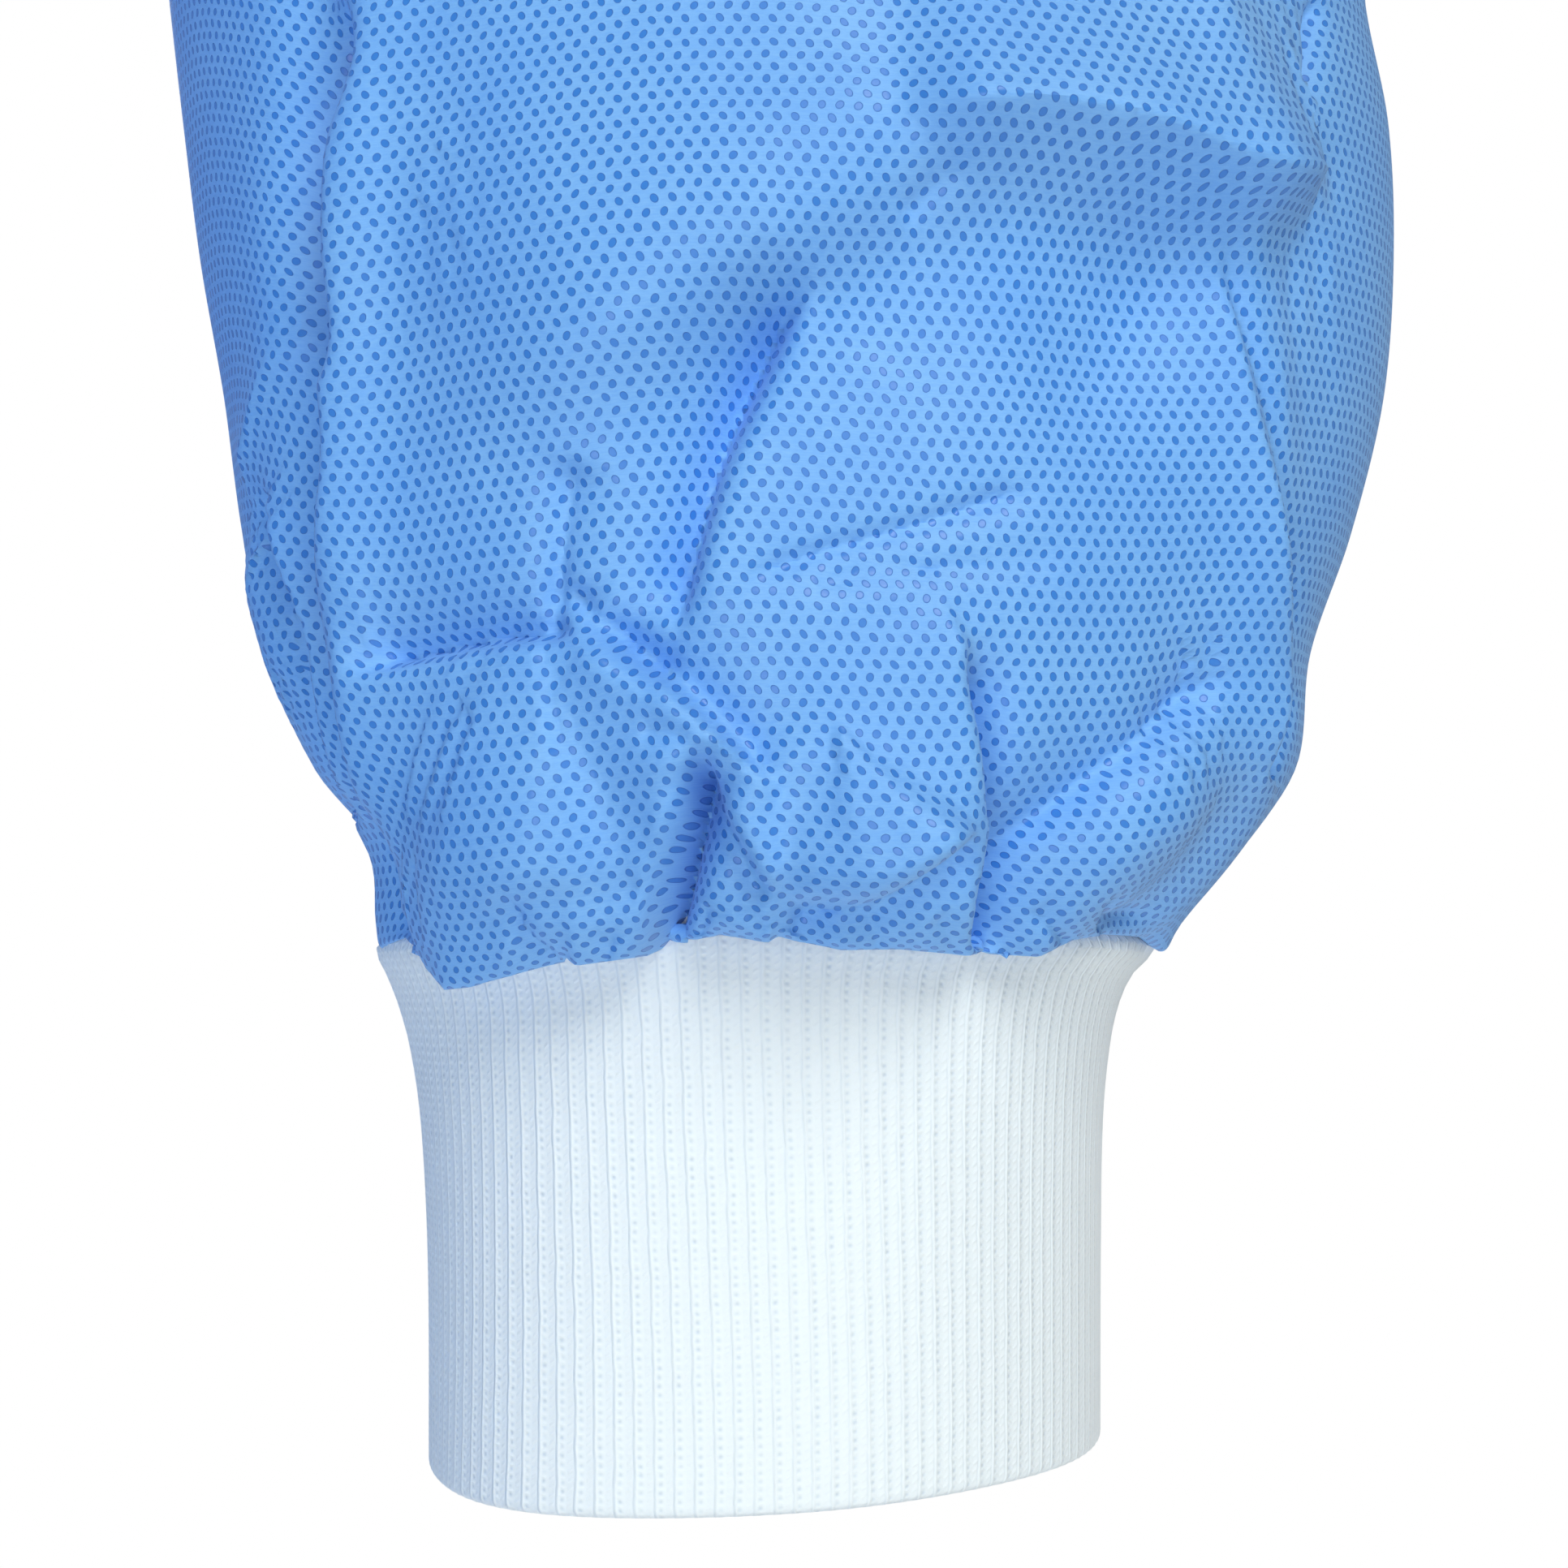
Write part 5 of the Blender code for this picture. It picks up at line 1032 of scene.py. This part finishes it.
def panel_mesh(name, grids):
    """Joins grids of points, each with its cloth places and facing, into one welded shell."""
    points, faces, uvs, corners = [], [], [], []
    base = 0
    for grid, uv, flip in grids:
        face, corner = grid_faces(*grid.shape[:2], closed=False, flip=flip)
        points.append(grid.reshape(-1, 3))
        uvs.append(uv.reshape(-1, 2))
        faces.append(face + base)
        corners.append(corner + base)
        base += grid.shape[0] * grid.shape[1]
    points, faces = np.concatenate(points), np.concatenate(faces)
    uvs, corners = np.concatenate(uvs), np.concatenate(corners)
    _, first, place = np.unique(np.round(points, 6), axis=0, return_index=True, return_inverse=True)
    return shell(name, points[first], place.ravel()[faces], uvs, corners, CLOTH, cloth)


def cloth_places(points, side):
    u = lengths_along(points, 1) * side
    v = lengths_along(points, 0)
    return np.stack([u, np.broadcast_to(v[:, :1], u.shape) * 0.5 + v * 0.5], axis=-1)


def front_grids(side):
    """A front as two grids: from the centre line out, and the strip of its placket beyond it."""
    neck_row = NECK["front"].first_row
    points, normals, rows = body_half("front", side)
    distance = np.abs(points[..., 0])
    lift = (rows <= neck_row) * turned_edge(distance, PLACKET_HALF_WIDTH,
                                            STITCH_SINK * PLACKET_SINK_SHARE)
    if side < 0:
        above = np.maximum(rows - neck_row, 0)
        step = PLACKET_STEP * np.maximum(1 - above / PLACKET_STEP_FADE_ROWS, 0)
        lift -= step * ease((PLACKET_HALF_WIDTH * PLACKET_STEP_OUT - distance)
                            / (PLACKET_HALF_WIDTH * PLACKET_STEP_SLOPE))
    points = points + normals * lift[..., None]
    neck = neck_row * BODY_ROWS_PER_ROW + 1
    inner = (np.abs(points[:neck, :, 0]) < PLACKET_HALF_WIDTH).sum(axis=1).max() + 2
    across = np.linspace(0, 1, PLACKET_COLUMNS) * PLACKET_HALF_WIDTH
    strip = np.empty((neck, PLACKET_COLUMNS, 3))
    strip[..., 0] = -side * across
    for r, row in enumerate(points[:neck, :inner]):
        for axis in (1, 2):
            strip[r, :, axis] = np.interp(across, np.abs(row[:, 0]), row[:, axis])
    main_uv = cloth_places(points, side)
    strip_uv = np.stack([strip[..., 0], np.broadcast_to(main_uv[:neck, :1, 1], strip.shape[:2])],
                        axis=-1)
    return [(points, main_uv, side < 0), (strip, strip_uv, side > 0)]


# Rows of lockstitch; each stitch is a short end of thread that dips into the cloth
STITCH_PITCH, STITCH_LENGTH, THREAD, STITCH_STAND = 0.0030, 0.0025, 0.00034, 0.00010
STITCH_UNEVEN = 0.10
HEM_STITCH_Z, HEM_STITCH_REACH, HEM_LEFT_START, HEM_RIGHT_START = -0.735, 0.256, -0.0175, -0.0185
PLACKET_STITCH_X, PLACKET_STITCH_TOP, PLACKET_STITCH_FOOT = 0.0180, -0.079, -0.752
THREAD_COLOUR = (0.36, 0.58, 0.90)


def thread_material():
    made, n, shader = new_material("thread", THREAD_COLOUR, 0.55, Sheen_Weight=0.3)
    place = n.add("ShaderNodeTexCoord").outputs["Object"]
    twist = n.noise(place, 2400.0, 2.0)
    colour = n.mix(twist, (*[c * 0.72 for c in THREAD_COLOUR], 1), (*THREAD_COLOUR, 1))
    n.tree.links.new(colour, shader.inputs["Base Color"])
    n.bump(twist, 0.3, 0.00005, shader)
    return made


def stitch_tree():
    """Sets stitches along a path, each turned a little unevenly, as solid thread."""
    tree = bpy.data.node_groups.new("stitches", "GeometryNodeTree")
    face = tree.interface
    face.new_socket("Path", in_out="INPUT", socket_type="NodeSocketGeometry")
    for name in ("Pitch", "Length", "Thread", "Uneven"):
        face.new_socket(name, in_out="INPUT", socket_type="NodeSocketFloat")
    face.new_socket("Seed", in_out="INPUT", socket_type="NodeSocketInt")
    face.new_socket("Finish", in_out="INPUT", socket_type="NodeSocketMaterial")
    face.new_socket("Stitches", in_out="OUTPUT", socket_type="NodeSocketGeometry")
    n = Nodes(tree)
    given = n.add("NodeGroupInput").outputs
    curve = n.add("GeometryNodeMeshToCurve", {"Mesh": given["Path"]}).outputs[0]
    spaced = n.add("GeometryNodeResampleCurve", {"Curve": curve, "Length": given["Pitch"]},
                   mode="LENGTH").outputs[0]
    end = n.add("GeometryNodeMeshUVSphere", {"Segments": 6, "Rings": 5, "Radius": 0.5}).outputs[0]
    along = n.add("GeometryNodeInputTangent").outputs[0]
    turn = n.add("FunctionNodeAlignRotationToVector", {"Vector": along}, axis="X").outputs[0]
    size = n.add("ShaderNodeCombineXYZ", {0: given["Length"], 1: given["Thread"],
                                          2: given["Thread"]}).outputs[0]
    placed = n.add("GeometryNodeInstanceOnPoints", {"Points": spaced, "Instance": end,
                                                    "Rotation": turn, "Scale": size}).outputs[0]
    low = n.math("MULTIPLY", given["Uneven"], -1.0)
    chance = n.add("FunctionNodeRandomValue", {2: low, 3: given["Uneven"], "Seed": given["Seed"]},
                   data_type="FLOAT").outputs[1]
    askew = n.add("ShaderNodeCombineXYZ", {2: chance}).outputs[0]
    turned = n.add("GeometryNodeRotateInstances",
                   {"Instances": placed, "Rotation": askew}).outputs[0]
    solid = n.add("GeometryNodeRealizeInstances", {"Geometry": turned}).outputs[0]
    soft = n.add("GeometryNodeSetShadeSmooth", {"Geometry": solid}).outputs[0]
    done = n.add("GeometryNodeSetMaterial",
                 {"Geometry": soft, "Material": given["Finish"]}).outputs[0]
    tree.links.new(done, n.add("NodeGroupOutput").inputs[0])
    return tree


thread = thread_material()
stitches = stitch_tree()


def stitch_along(name, paths, seed):
    """Stitches along runs of points, as one plain mesh."""
    points, edges = [], []
    for path in paths:
        edges += [(len(points) + i, len(points) + i + 1) for i in range(len(path) - 1)]
        points += [tuple(p) for p in path]
    mesh = bpy.data.meshes.new(name + "_path")
    mesh.from_pydata(points, edges, [])
    source = new_object(name + "_path", mesh)
    modifier = source.modifiers.new("stitches", "NODES")
    modifier.node_group = stitches
    sockets = {s.name: s.identifier for s in stitches.interface.items_tree if s.in_out == "INPUT"}
    for key, value in (("Pitch", STITCH_PITCH), ("Length", STITCH_LENGTH), ("Thread", THREAD),
                       ("Uneven", STITCH_UNEVEN), ("Seed", seed), ("Finish", thread)):
        modifier[sockets[key]] = value
    bpy.context.view_layer.update()
    found = source.evaluated_get(bpy.context.evaluated_depsgraph_get())
    plain = bpy.data.meshes.new_from_object(found)
    plain.name = name
    bpy.data.objects.remove(source)
    made = new_object(name, plain)
    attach(made, "root")
    return made


def surface_of(objects):
    points, faces = [], []
    for made in objects:
        base = len(points)
        points += [v.co.copy() for v in made.data.vertices]
        faces += [tuple(base + i for i in p.vertices) for p in made.data.polygons]
    return BVHTree.FromPolygons(points, faces)


def met_from(surface, start, way):
    """Where a straight line first meets a surface, and the surface's normal towards its start."""
    hit, normal, _, _ = surface.ray_cast(Vector(start), Vector(way))
    if hit is not None and normal.dot(Vector(way)) > 0:
        normal.negate()
    return hit, normal


def stitch_places(surface, places, facing):
    """Where a row of stitches lies on a piece, from its places seen from the front or the back."""
    met = [met_from(surface, (x, facing, z), (0, -facing, 0)) for x, z in places]
    return [hit + normal * STITCH_STAND for hit, normal in met if hit is not None]


front_left = panel_mesh("front_cloth_left", front_grids(1))
front_right = panel_mesh("front_cloth_right", front_grids(-1))
back_grids = []
for side in (1, -1):
    points, _, _ = body_half("back", side)
    back_grids.append((points, cloth_places(points, side), side > 0))
back = panel_mesh("back_cloth", back_grids)
hem_left, hem_right, hem_back = (
    [(x, HEM_STITCH_Z) for x in np.linspace(start, end, count)]
    for start, end, count in ((HEM_LEFT_START, HEM_STITCH_REACH, 140),
                              (HEM_RIGHT_START, -HEM_STITCH_REACH, 120),
                              (-HEM_STITCH_REACH, HEM_STITCH_REACH, 260)))
placket = [(PLACKET_STITCH_X, z) for z in np.linspace(PLACKET_STITCH_FOOT, PLACKET_STITCH_TOP, 300)]
for piece, node, facing, rows, flat, area, seed in (
        (front_left, "front_left", -1, (hem_left, placket), (0.372, 0.845), 0.243, 3),
        (front_right, "front_right", -1, (hem_right,), (0.372, 0.845), 0.243, 5),
        (back, "back", 1, (hem_back,), (0.690, 0.872), 0.458, 7)):
    on_piece = surface_of((piece,))
    paths = [stitch_places(on_piece, row, facing) for row in rows]
    sewn = stitch_along(node + "_stitches", paths, seed)
    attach(piece, "root")
    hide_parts(node)

# Collar
# A turned-down shirt collar in one piece with its stand, two layers of cloth thick, sewn round the
# neck edge. It lies on the shoulders, and its ends make the two points.

COLLAR_CLOTH = 0.0012
COLLAR_FIRST_TURN, COLLAR_LEAN = 3.75, 0.1
COLLAR_FOLD_WIDTH, COLLAR_FOLD_RISE = 0.0075, 0.003
COLLAR_CLEARANCE, COLLAR_ROUNDNESS, COLLAR_STAND_BREAK = 0.0030, 0.004, 0.55
COLLAR_SEAM_RISE, COLLAR_FEEL_HEIGHT, COLLAR_FEEL_SHIFT = 0.0006, 0.3, 0.0006
COLLAR_CREASE_TOP, COLLAR_CREASE_FADE, COLLAR_PEAK = 0.052, 0.02, 1.7
COLLAR_STITCH, COLLAR_STITCH_TOP = 0.005, 0.046
COLLAR_STITCH_SINK, COLLAR_STITCH_SPREAD = 0.0004, 0.0009
COLLAR = table(
    "turn stand fall swing",
    (0, 0.022, 0.080, 0.030), (30, 0.026, 0.070, 0.012), (60, 0.030, 0.062, 0.003),
    (90, 0.032, 0.058, 0.0), (180, 0.034, 0.056, 0.0),
)
COLLAR_COLUMNS, COLLAR_ROWS, COLLAR_BLUR = 181, 48, 2
# Creases of the fall: along the neck in degrees from the left front, and up from its edge in mm
COLLAR_CREASES = table(
    CREASE,
    (-0.8, 4, 5, ((22, 4), (30, 26), (34, 50))), (0.7, 5, 5, ((44, 2), (50, 28), (52, 54))),
    (-0.7, 4, 6, ((84, 6), (92, 24), (104, 44))), (0.6, 6, 6, ((128, 0), (130, 26), (138, 48))),
    (-0.6, 5, 6, ((176, 4), (182, 24), (178, 46))), (-0.8, 4, 6, ((236, 4), (244, 26), (252, 42))),
    (0.6, 6, 6, ((262, 0), (268, 20), (276, 48))), (-0.8, 5, 5, ((322, 2), (326, 28), (318, 50))),
)


def neck_place(turn):
    """A point of the neck edge, turn degrees from the left front centre round the back."""
    side = 1 if turn <= 180 else -1
    turn = turn if turn <= 180 else 360 - turn
    half = "front" if turn <= 90 else "back"
    first = NECK[half].first_row
    part = turn / 90 if half == "front" else (180 - turn) / 90
    row = np.array(first + (SHOULDER_ROW - first) * part)
    point = centre_edge(row, half)
    if side < 0:
        point[0] *= -1
        if half == "front":
            above = max(float(row) - NECK["front"].first_row, 0)
            point[1] += PLACKET_STEP * max(1 - above / PLACKET_STEP_FADE_ROWS, 0)
    return Vector(point), side, turn


def collar_edge(surface, top, outward, side, turn):
    """Where the collar's outer edge lies over the body, the fall's length from its fold."""
    fall = float(read(COLLAR, turn, "fall"))
    swing = float(read(COLLAR, turn, "swing")) * side
    low, high = 0.0, fall
    for _ in range(20):
        reach = (low + high) / 2
        over = top + outward * reach + Vector((swing, 0, 0))
        above = (over.x, over.y + COLLAR_FEEL_SHIFT, COLLAR_FEEL_HEIGHT)
        hit, normal = met_from(surface, above, (0, 0, -1))
        if hit is not None:
            edge, edge_normal = hit + normal * COLLAR_CLEARANCE, normal
        if hit is not None and (edge - top).length < fall:
            low = reach
        else:
            high = reach
    return edge, edge_normal


def collar_profile(surface, place):
    """Knots of the collar's section at a place round the neck, from the seam to its outer edge."""
    point, side, turn = neck_place(place)
    angle = math.radians(turn)
    outward = Vector((side * math.sin(angle) / NECK_HALF_WIDTH,
                      -math.cos(angle) / NECK["front"].reach, 0)).normalized()
    rise = (Vector((0, 0, 1)) - outward * COLLAR_LEAN).normalized()
    base = point + rise * COLLAR_SEAM_RISE
    top_in = base + rise * float(read(COLLAR, turn, "stand"))
    apex = top_in + outward * COLLAR_FOLD_WIDTH / 2 + Vector((0, 0, COLLAR_FOLD_RISE))
    top_out = top_in + outward * COLLAR_FOLD_WIDTH
    edge, edge_out = collar_edge(surface, top_out, outward, side, turn)
    crown = (outward + edge_out).normalized() * COLLAR_ROUNDNESS
    low_stand = base.lerp(top_in, COLLAR_STAND_BREAK)
    return [base, low_stand, top_in, apex, top_out, top_out.lerp(edge, 0.5) + crown, edge]


def make_collar():
    """The collar's grid from its seam up, its normals and relief, and its lengths to the edge."""
    surface = surface_of((front_left, front_right, back))
    places = np.linspace(COLLAR_FIRST_TURN, 360 - COLLAR_FIRST_TURN, COLLAR_COLUMNS)
    grid = np.stack([smooth_between(collar_profile(surface, place), COLLAR_ROWS)
                     for place in places], axis=1)
    padded = np.pad(grid, ((0, 0), (COLLAR_BLUR, COLLAR_BLUR), (0, 0)), mode="edge")
    width = 2 * COLLAR_BLUR + 1
    blurred = sum(padded[:, i:i + COLLAR_COLUMNS] for i in range(width)) / width
    from_ends = np.minimum(np.arange(COLLAR_COLUMNS), np.arange(COLLAR_COLUMNS)[::-1])
    share = np.clip(from_ends / (COLLAR_BLUR + 1), 0, 1)[:, None]
    grid = blurred * share + grid * (1 - share)
    normals = grid_normals(grid)
    from_edge = -lengths_along(grid, 0, COLLAR_ROWS - 1)
    from_ends = np.minimum(lengths_along(grid, 1), -lengths_along(grid, 1, COLLAR_COLUMNS - 1))
    near = np.minimum(from_edge, from_ends)
    relief = creased(COLLAR_CREASES, places[None, :], from_edge * 1000, COLLAR_PEAK)
    relief *= ease((COLLAR_CREASE_TOP - from_edge) / COLLAR_CREASE_FADE)
    relief -= COLLAR_STITCH_SINK * bell(near - COLLAR_STITCH, COLLAR_STITCH_SPREAD)
    return grid, normals, relief, from_edge


def collar_at(along, up):
    """A stitch place on the collar, along its edge from the left end and up from the edge."""
    column = np.interp(along, collar_along, np.arange(COLLAR_COLUMNS))
    c = min(int(column), COLLAR_COLUMNS - 2)
    share = column - c
    found = []
    for k in (c, c + 1):
        row = np.interp(-up, -collar_from_edge[:, k], np.arange(COLLAR_ROWS))
        r = min(int(row), COLLAR_ROWS - 2)
        t = row - r
        found.append(sum(w * (collar_points[i, k] + collar_normals[i, k] * STITCH_STAND)
                         for i, w in ((r, 1 - t), (r + 1, t))))
    return found[0] * (1 - share) + found[1] * share


collar_points, collar_normals, collar_relief, collar_from_edge = make_collar()
collar_uv = np.stack([lengths_along(collar_points, 1, COLLAR_COLUMNS // 2), collar_from_edge],
                     axis=-1)
collar_along = lengths_along(collar_points, 1)[-1]
collar_length = collar_along[-1]
collar_points = collar_points + collar_normals * (collar_relief + COLLAR_CLOTH / 2)[..., None]
faces, corners = grid_faces(COLLAR_ROWS, COLLAR_COLUMNS, closed=False)
collar = shell("collar_cloth", collar_points.reshape(-1, 3), faces, collar_uv.reshape(-1, 2),
               corners, COLLAR_CLOTH, cloth)
inner, outer = COLLAR_STITCH, collar_length - COLLAR_STITCH
edge_row = [collar_at(along, COLLAR_STITCH) for along in np.linspace(inner, outer, 260)]
end_rows = [[collar_at(along, up) for up in np.linspace(COLLAR_STITCH, COLLAR_STITCH_TOP, 30)]
            for along in (inner, outer)]
collar_sewn = stitch_along("collar_stitches", [edge_row, *end_rows], 11)
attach(collar, "root")
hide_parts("collar")

# Snaps
# Press snaps of white moulded plastic down the front: a domed cap with a rolled rim round a
# shallow dish, riveted through the left front.

SNAP_HEIGHTS = (-0.125, -0.245, -0.365, -0.485, -0.605)
SNAP_TURNS, SNAP_MIDDLE = 48, 0.00002
SNAP_PROFILE = table(
    "radius lift",
    (0.00000, 0.00092), (0.00120, 0.00092), (0.00150, 0.00088), (0.00300, 0.00106),
    (0.00400, 0.00150), (0.00460, 0.00188), (0.00515, 0.00200), (0.00570, 0.00186),
    (0.00620, 0.00140), (0.00640, 0.00080), (0.00640, 0.00030), (0.00622, 0.00005),
)
SNAP_COLOUR = (0.86, 0.90, 0.94)


def snap_material():
    made, n, shader = new_material("snap_plastic", SNAP_COLOUR, 0.32, Coat_Weight=0.15,
                                   Subsurface_Weight=0.12)
    shader.inputs["Subsurface Radius"].default_value = (0.001, 0.001, 0.001)
    shader.inputs["Subsurface Scale"].default_value = 1.0
    place = n.add("ShaderNodeTexCoord").outputs["Object"]
    cloud = n.noise(place, 500.0, 3.0)
    colour = n.mix(cloud, (0.80, 0.85, 0.90, 1), (0.88, 0.92, 0.95, 1))
    n.tree.links.new(colour, shader.inputs["Base Color"])
    rough = n.math("ADD", n.math("MULTIPLY", n.noise(place, 1500.0), 0.14), 0.26)
    n.tree.links.new(rough, shader.inputs["Roughness"])
    return made


snap_finish = snap_material()
front_surface = surface_of((front_left,))
for number, height in enumerate(SNAP_HEIGHTS, start=1):
    hit, normal = met_from(front_surface, (0, -1, height), (0, 1, 0))
    across = Vector((1, 0, 0))
    up = normal.cross(across).normalized()
    points, faces = [], []
    for ring in SNAP_PROFILE:
        for k in range(SNAP_TURNS):
            angle = 2 * math.pi * k / SNAP_TURNS
            radial = across * math.cos(angle) + up * math.sin(angle)
            points.append(hit + radial * max(ring.radius, SNAP_MIDDLE) + normal * ring.lift)
    last = len(SNAP_PROFILE) - 1
    for ring in range(last):
        for k in range(SNAP_TURNS):
            beside = (k + 1) % SNAP_TURNS
            faces.append((ring * SNAP_TURNS + k, (ring + 1) * SNAP_TURNS + k,
                          (ring + 1) * SNAP_TURNS + beside, ring * SNAP_TURNS + beside))
    faces.append(tuple(range(SNAP_TURNS)))
    faces.append(tuple(last * SNAP_TURNS + k for k in reversed(range(SNAP_TURNS))))
    mesh = bpy.data.meshes.new(f"snap_cap_{number}")
    mesh.from_pydata([tuple(p) for p in points], [], faces)
    mesh.shade_smooth()
    mesh.set_sharp_from_angle(angle=math.radians(60))
    mesh.materials.append(snap_finish)
    snap = new_object(f"snap_cap_{number}", mesh)
    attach(snap, "root")
    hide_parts(f"snap_{number}")

# Stage
# A pale floor well below the jacket and a white surround, lit by large soft lights. The camera
# stands level with the left sleeve end.

CAMERA_PLACE = (0.41223, -0.415, -0.5307)
CAMERA_LENS, CAMERA_SENSOR = 76.8, 36.0
FLOOR_Z, FLOOR_RADIUS = -0.96, 1.15
SURROUND_LIGHT = 0.19
LAMPS = table(
    "name place aim size power colour",
    ("key", (0.95, -1.40, 0.70), (0.40, 0.0, -0.50), 1.0, 22.5, (1.0, 0.99, 0.97)),
    ("fill", (1.05, -2.10, -0.50), (0.40, 0.0, -0.55), 1.2, 4.2, (0.96, 0.98, 1.0)),
    ("below", (0.14, -1.25, -1.00), (0.40, 0.0, -0.66), 0.7, 8.5, (1.0, 1.0, 1.0)),
    ("behind", (0.2, 2.0, 0.6), (0.0, 0.0, -0.40), 1.8, 42.0, (1.0, 1.0, 1.0)),
)

camera = new_object("camera", bpy.data.cameras.new("camera"))
camera.location = CAMERA_PLACE
camera.rotation_euler = (math.pi / 2, 0, 0)
camera.data.lens, camera.data.sensor_width = CAMERA_LENS, CAMERA_SENSOR
camera.data.clip_start = 0.01
bpy.context.scene.camera = camera

floor_turns = np.linspace(0, 2 * np.pi, 97)[:-1]
floor_mesh = bpy.data.meshes.new("floor")
floor_mesh.from_pydata([(FLOOR_RADIUS * math.cos(a), FLOOR_RADIUS * math.sin(a), FLOOR_Z)
                        for a in floor_turns], [], [tuple(range(len(floor_turns)))])
floor_finish, _, _ = new_material("floor", (0.86, 0.87, 0.88), 0.7)
floor_mesh.materials.append(floor_finish)
floor = new_object("floor", floor_mesh)

for lamp in LAMPS:
    made = new_object(lamp.name, bpy.data.lights.new(lamp.name, "AREA"))
    made.data.shape, made.data.size = "DISK", lamp.size
    made.data.energy, made.data.color = lamp.power, lamp.colour
    made.location = lamp.place
    toward = Vector(lamp.aim) - Vector(lamp.place)
    made.rotation_euler = toward.to_track_quat("-Z", "Y").to_euler()

world = bpy.data.worlds.new("surround")
bpy.context.scene.world = world
world.use_nodes = True
n = Nodes(world.node_tree)
seen = n.add("ShaderNodeLightPath").outputs["Is Camera Ray"]
background = world.node_tree.nodes["Background"]
background.inputs["Color"].default_value = (1, 1, 1, 1)
strength = n.math("ADD", SURROUND_LIGHT, n.math("MULTIPLY", seen, 1.0 - SURROUND_LIGHT))
world.node_tree.links.new(strength, background.inputs["Strength"])
bpy.context.scene.view_settings.view_transform = "Standard"
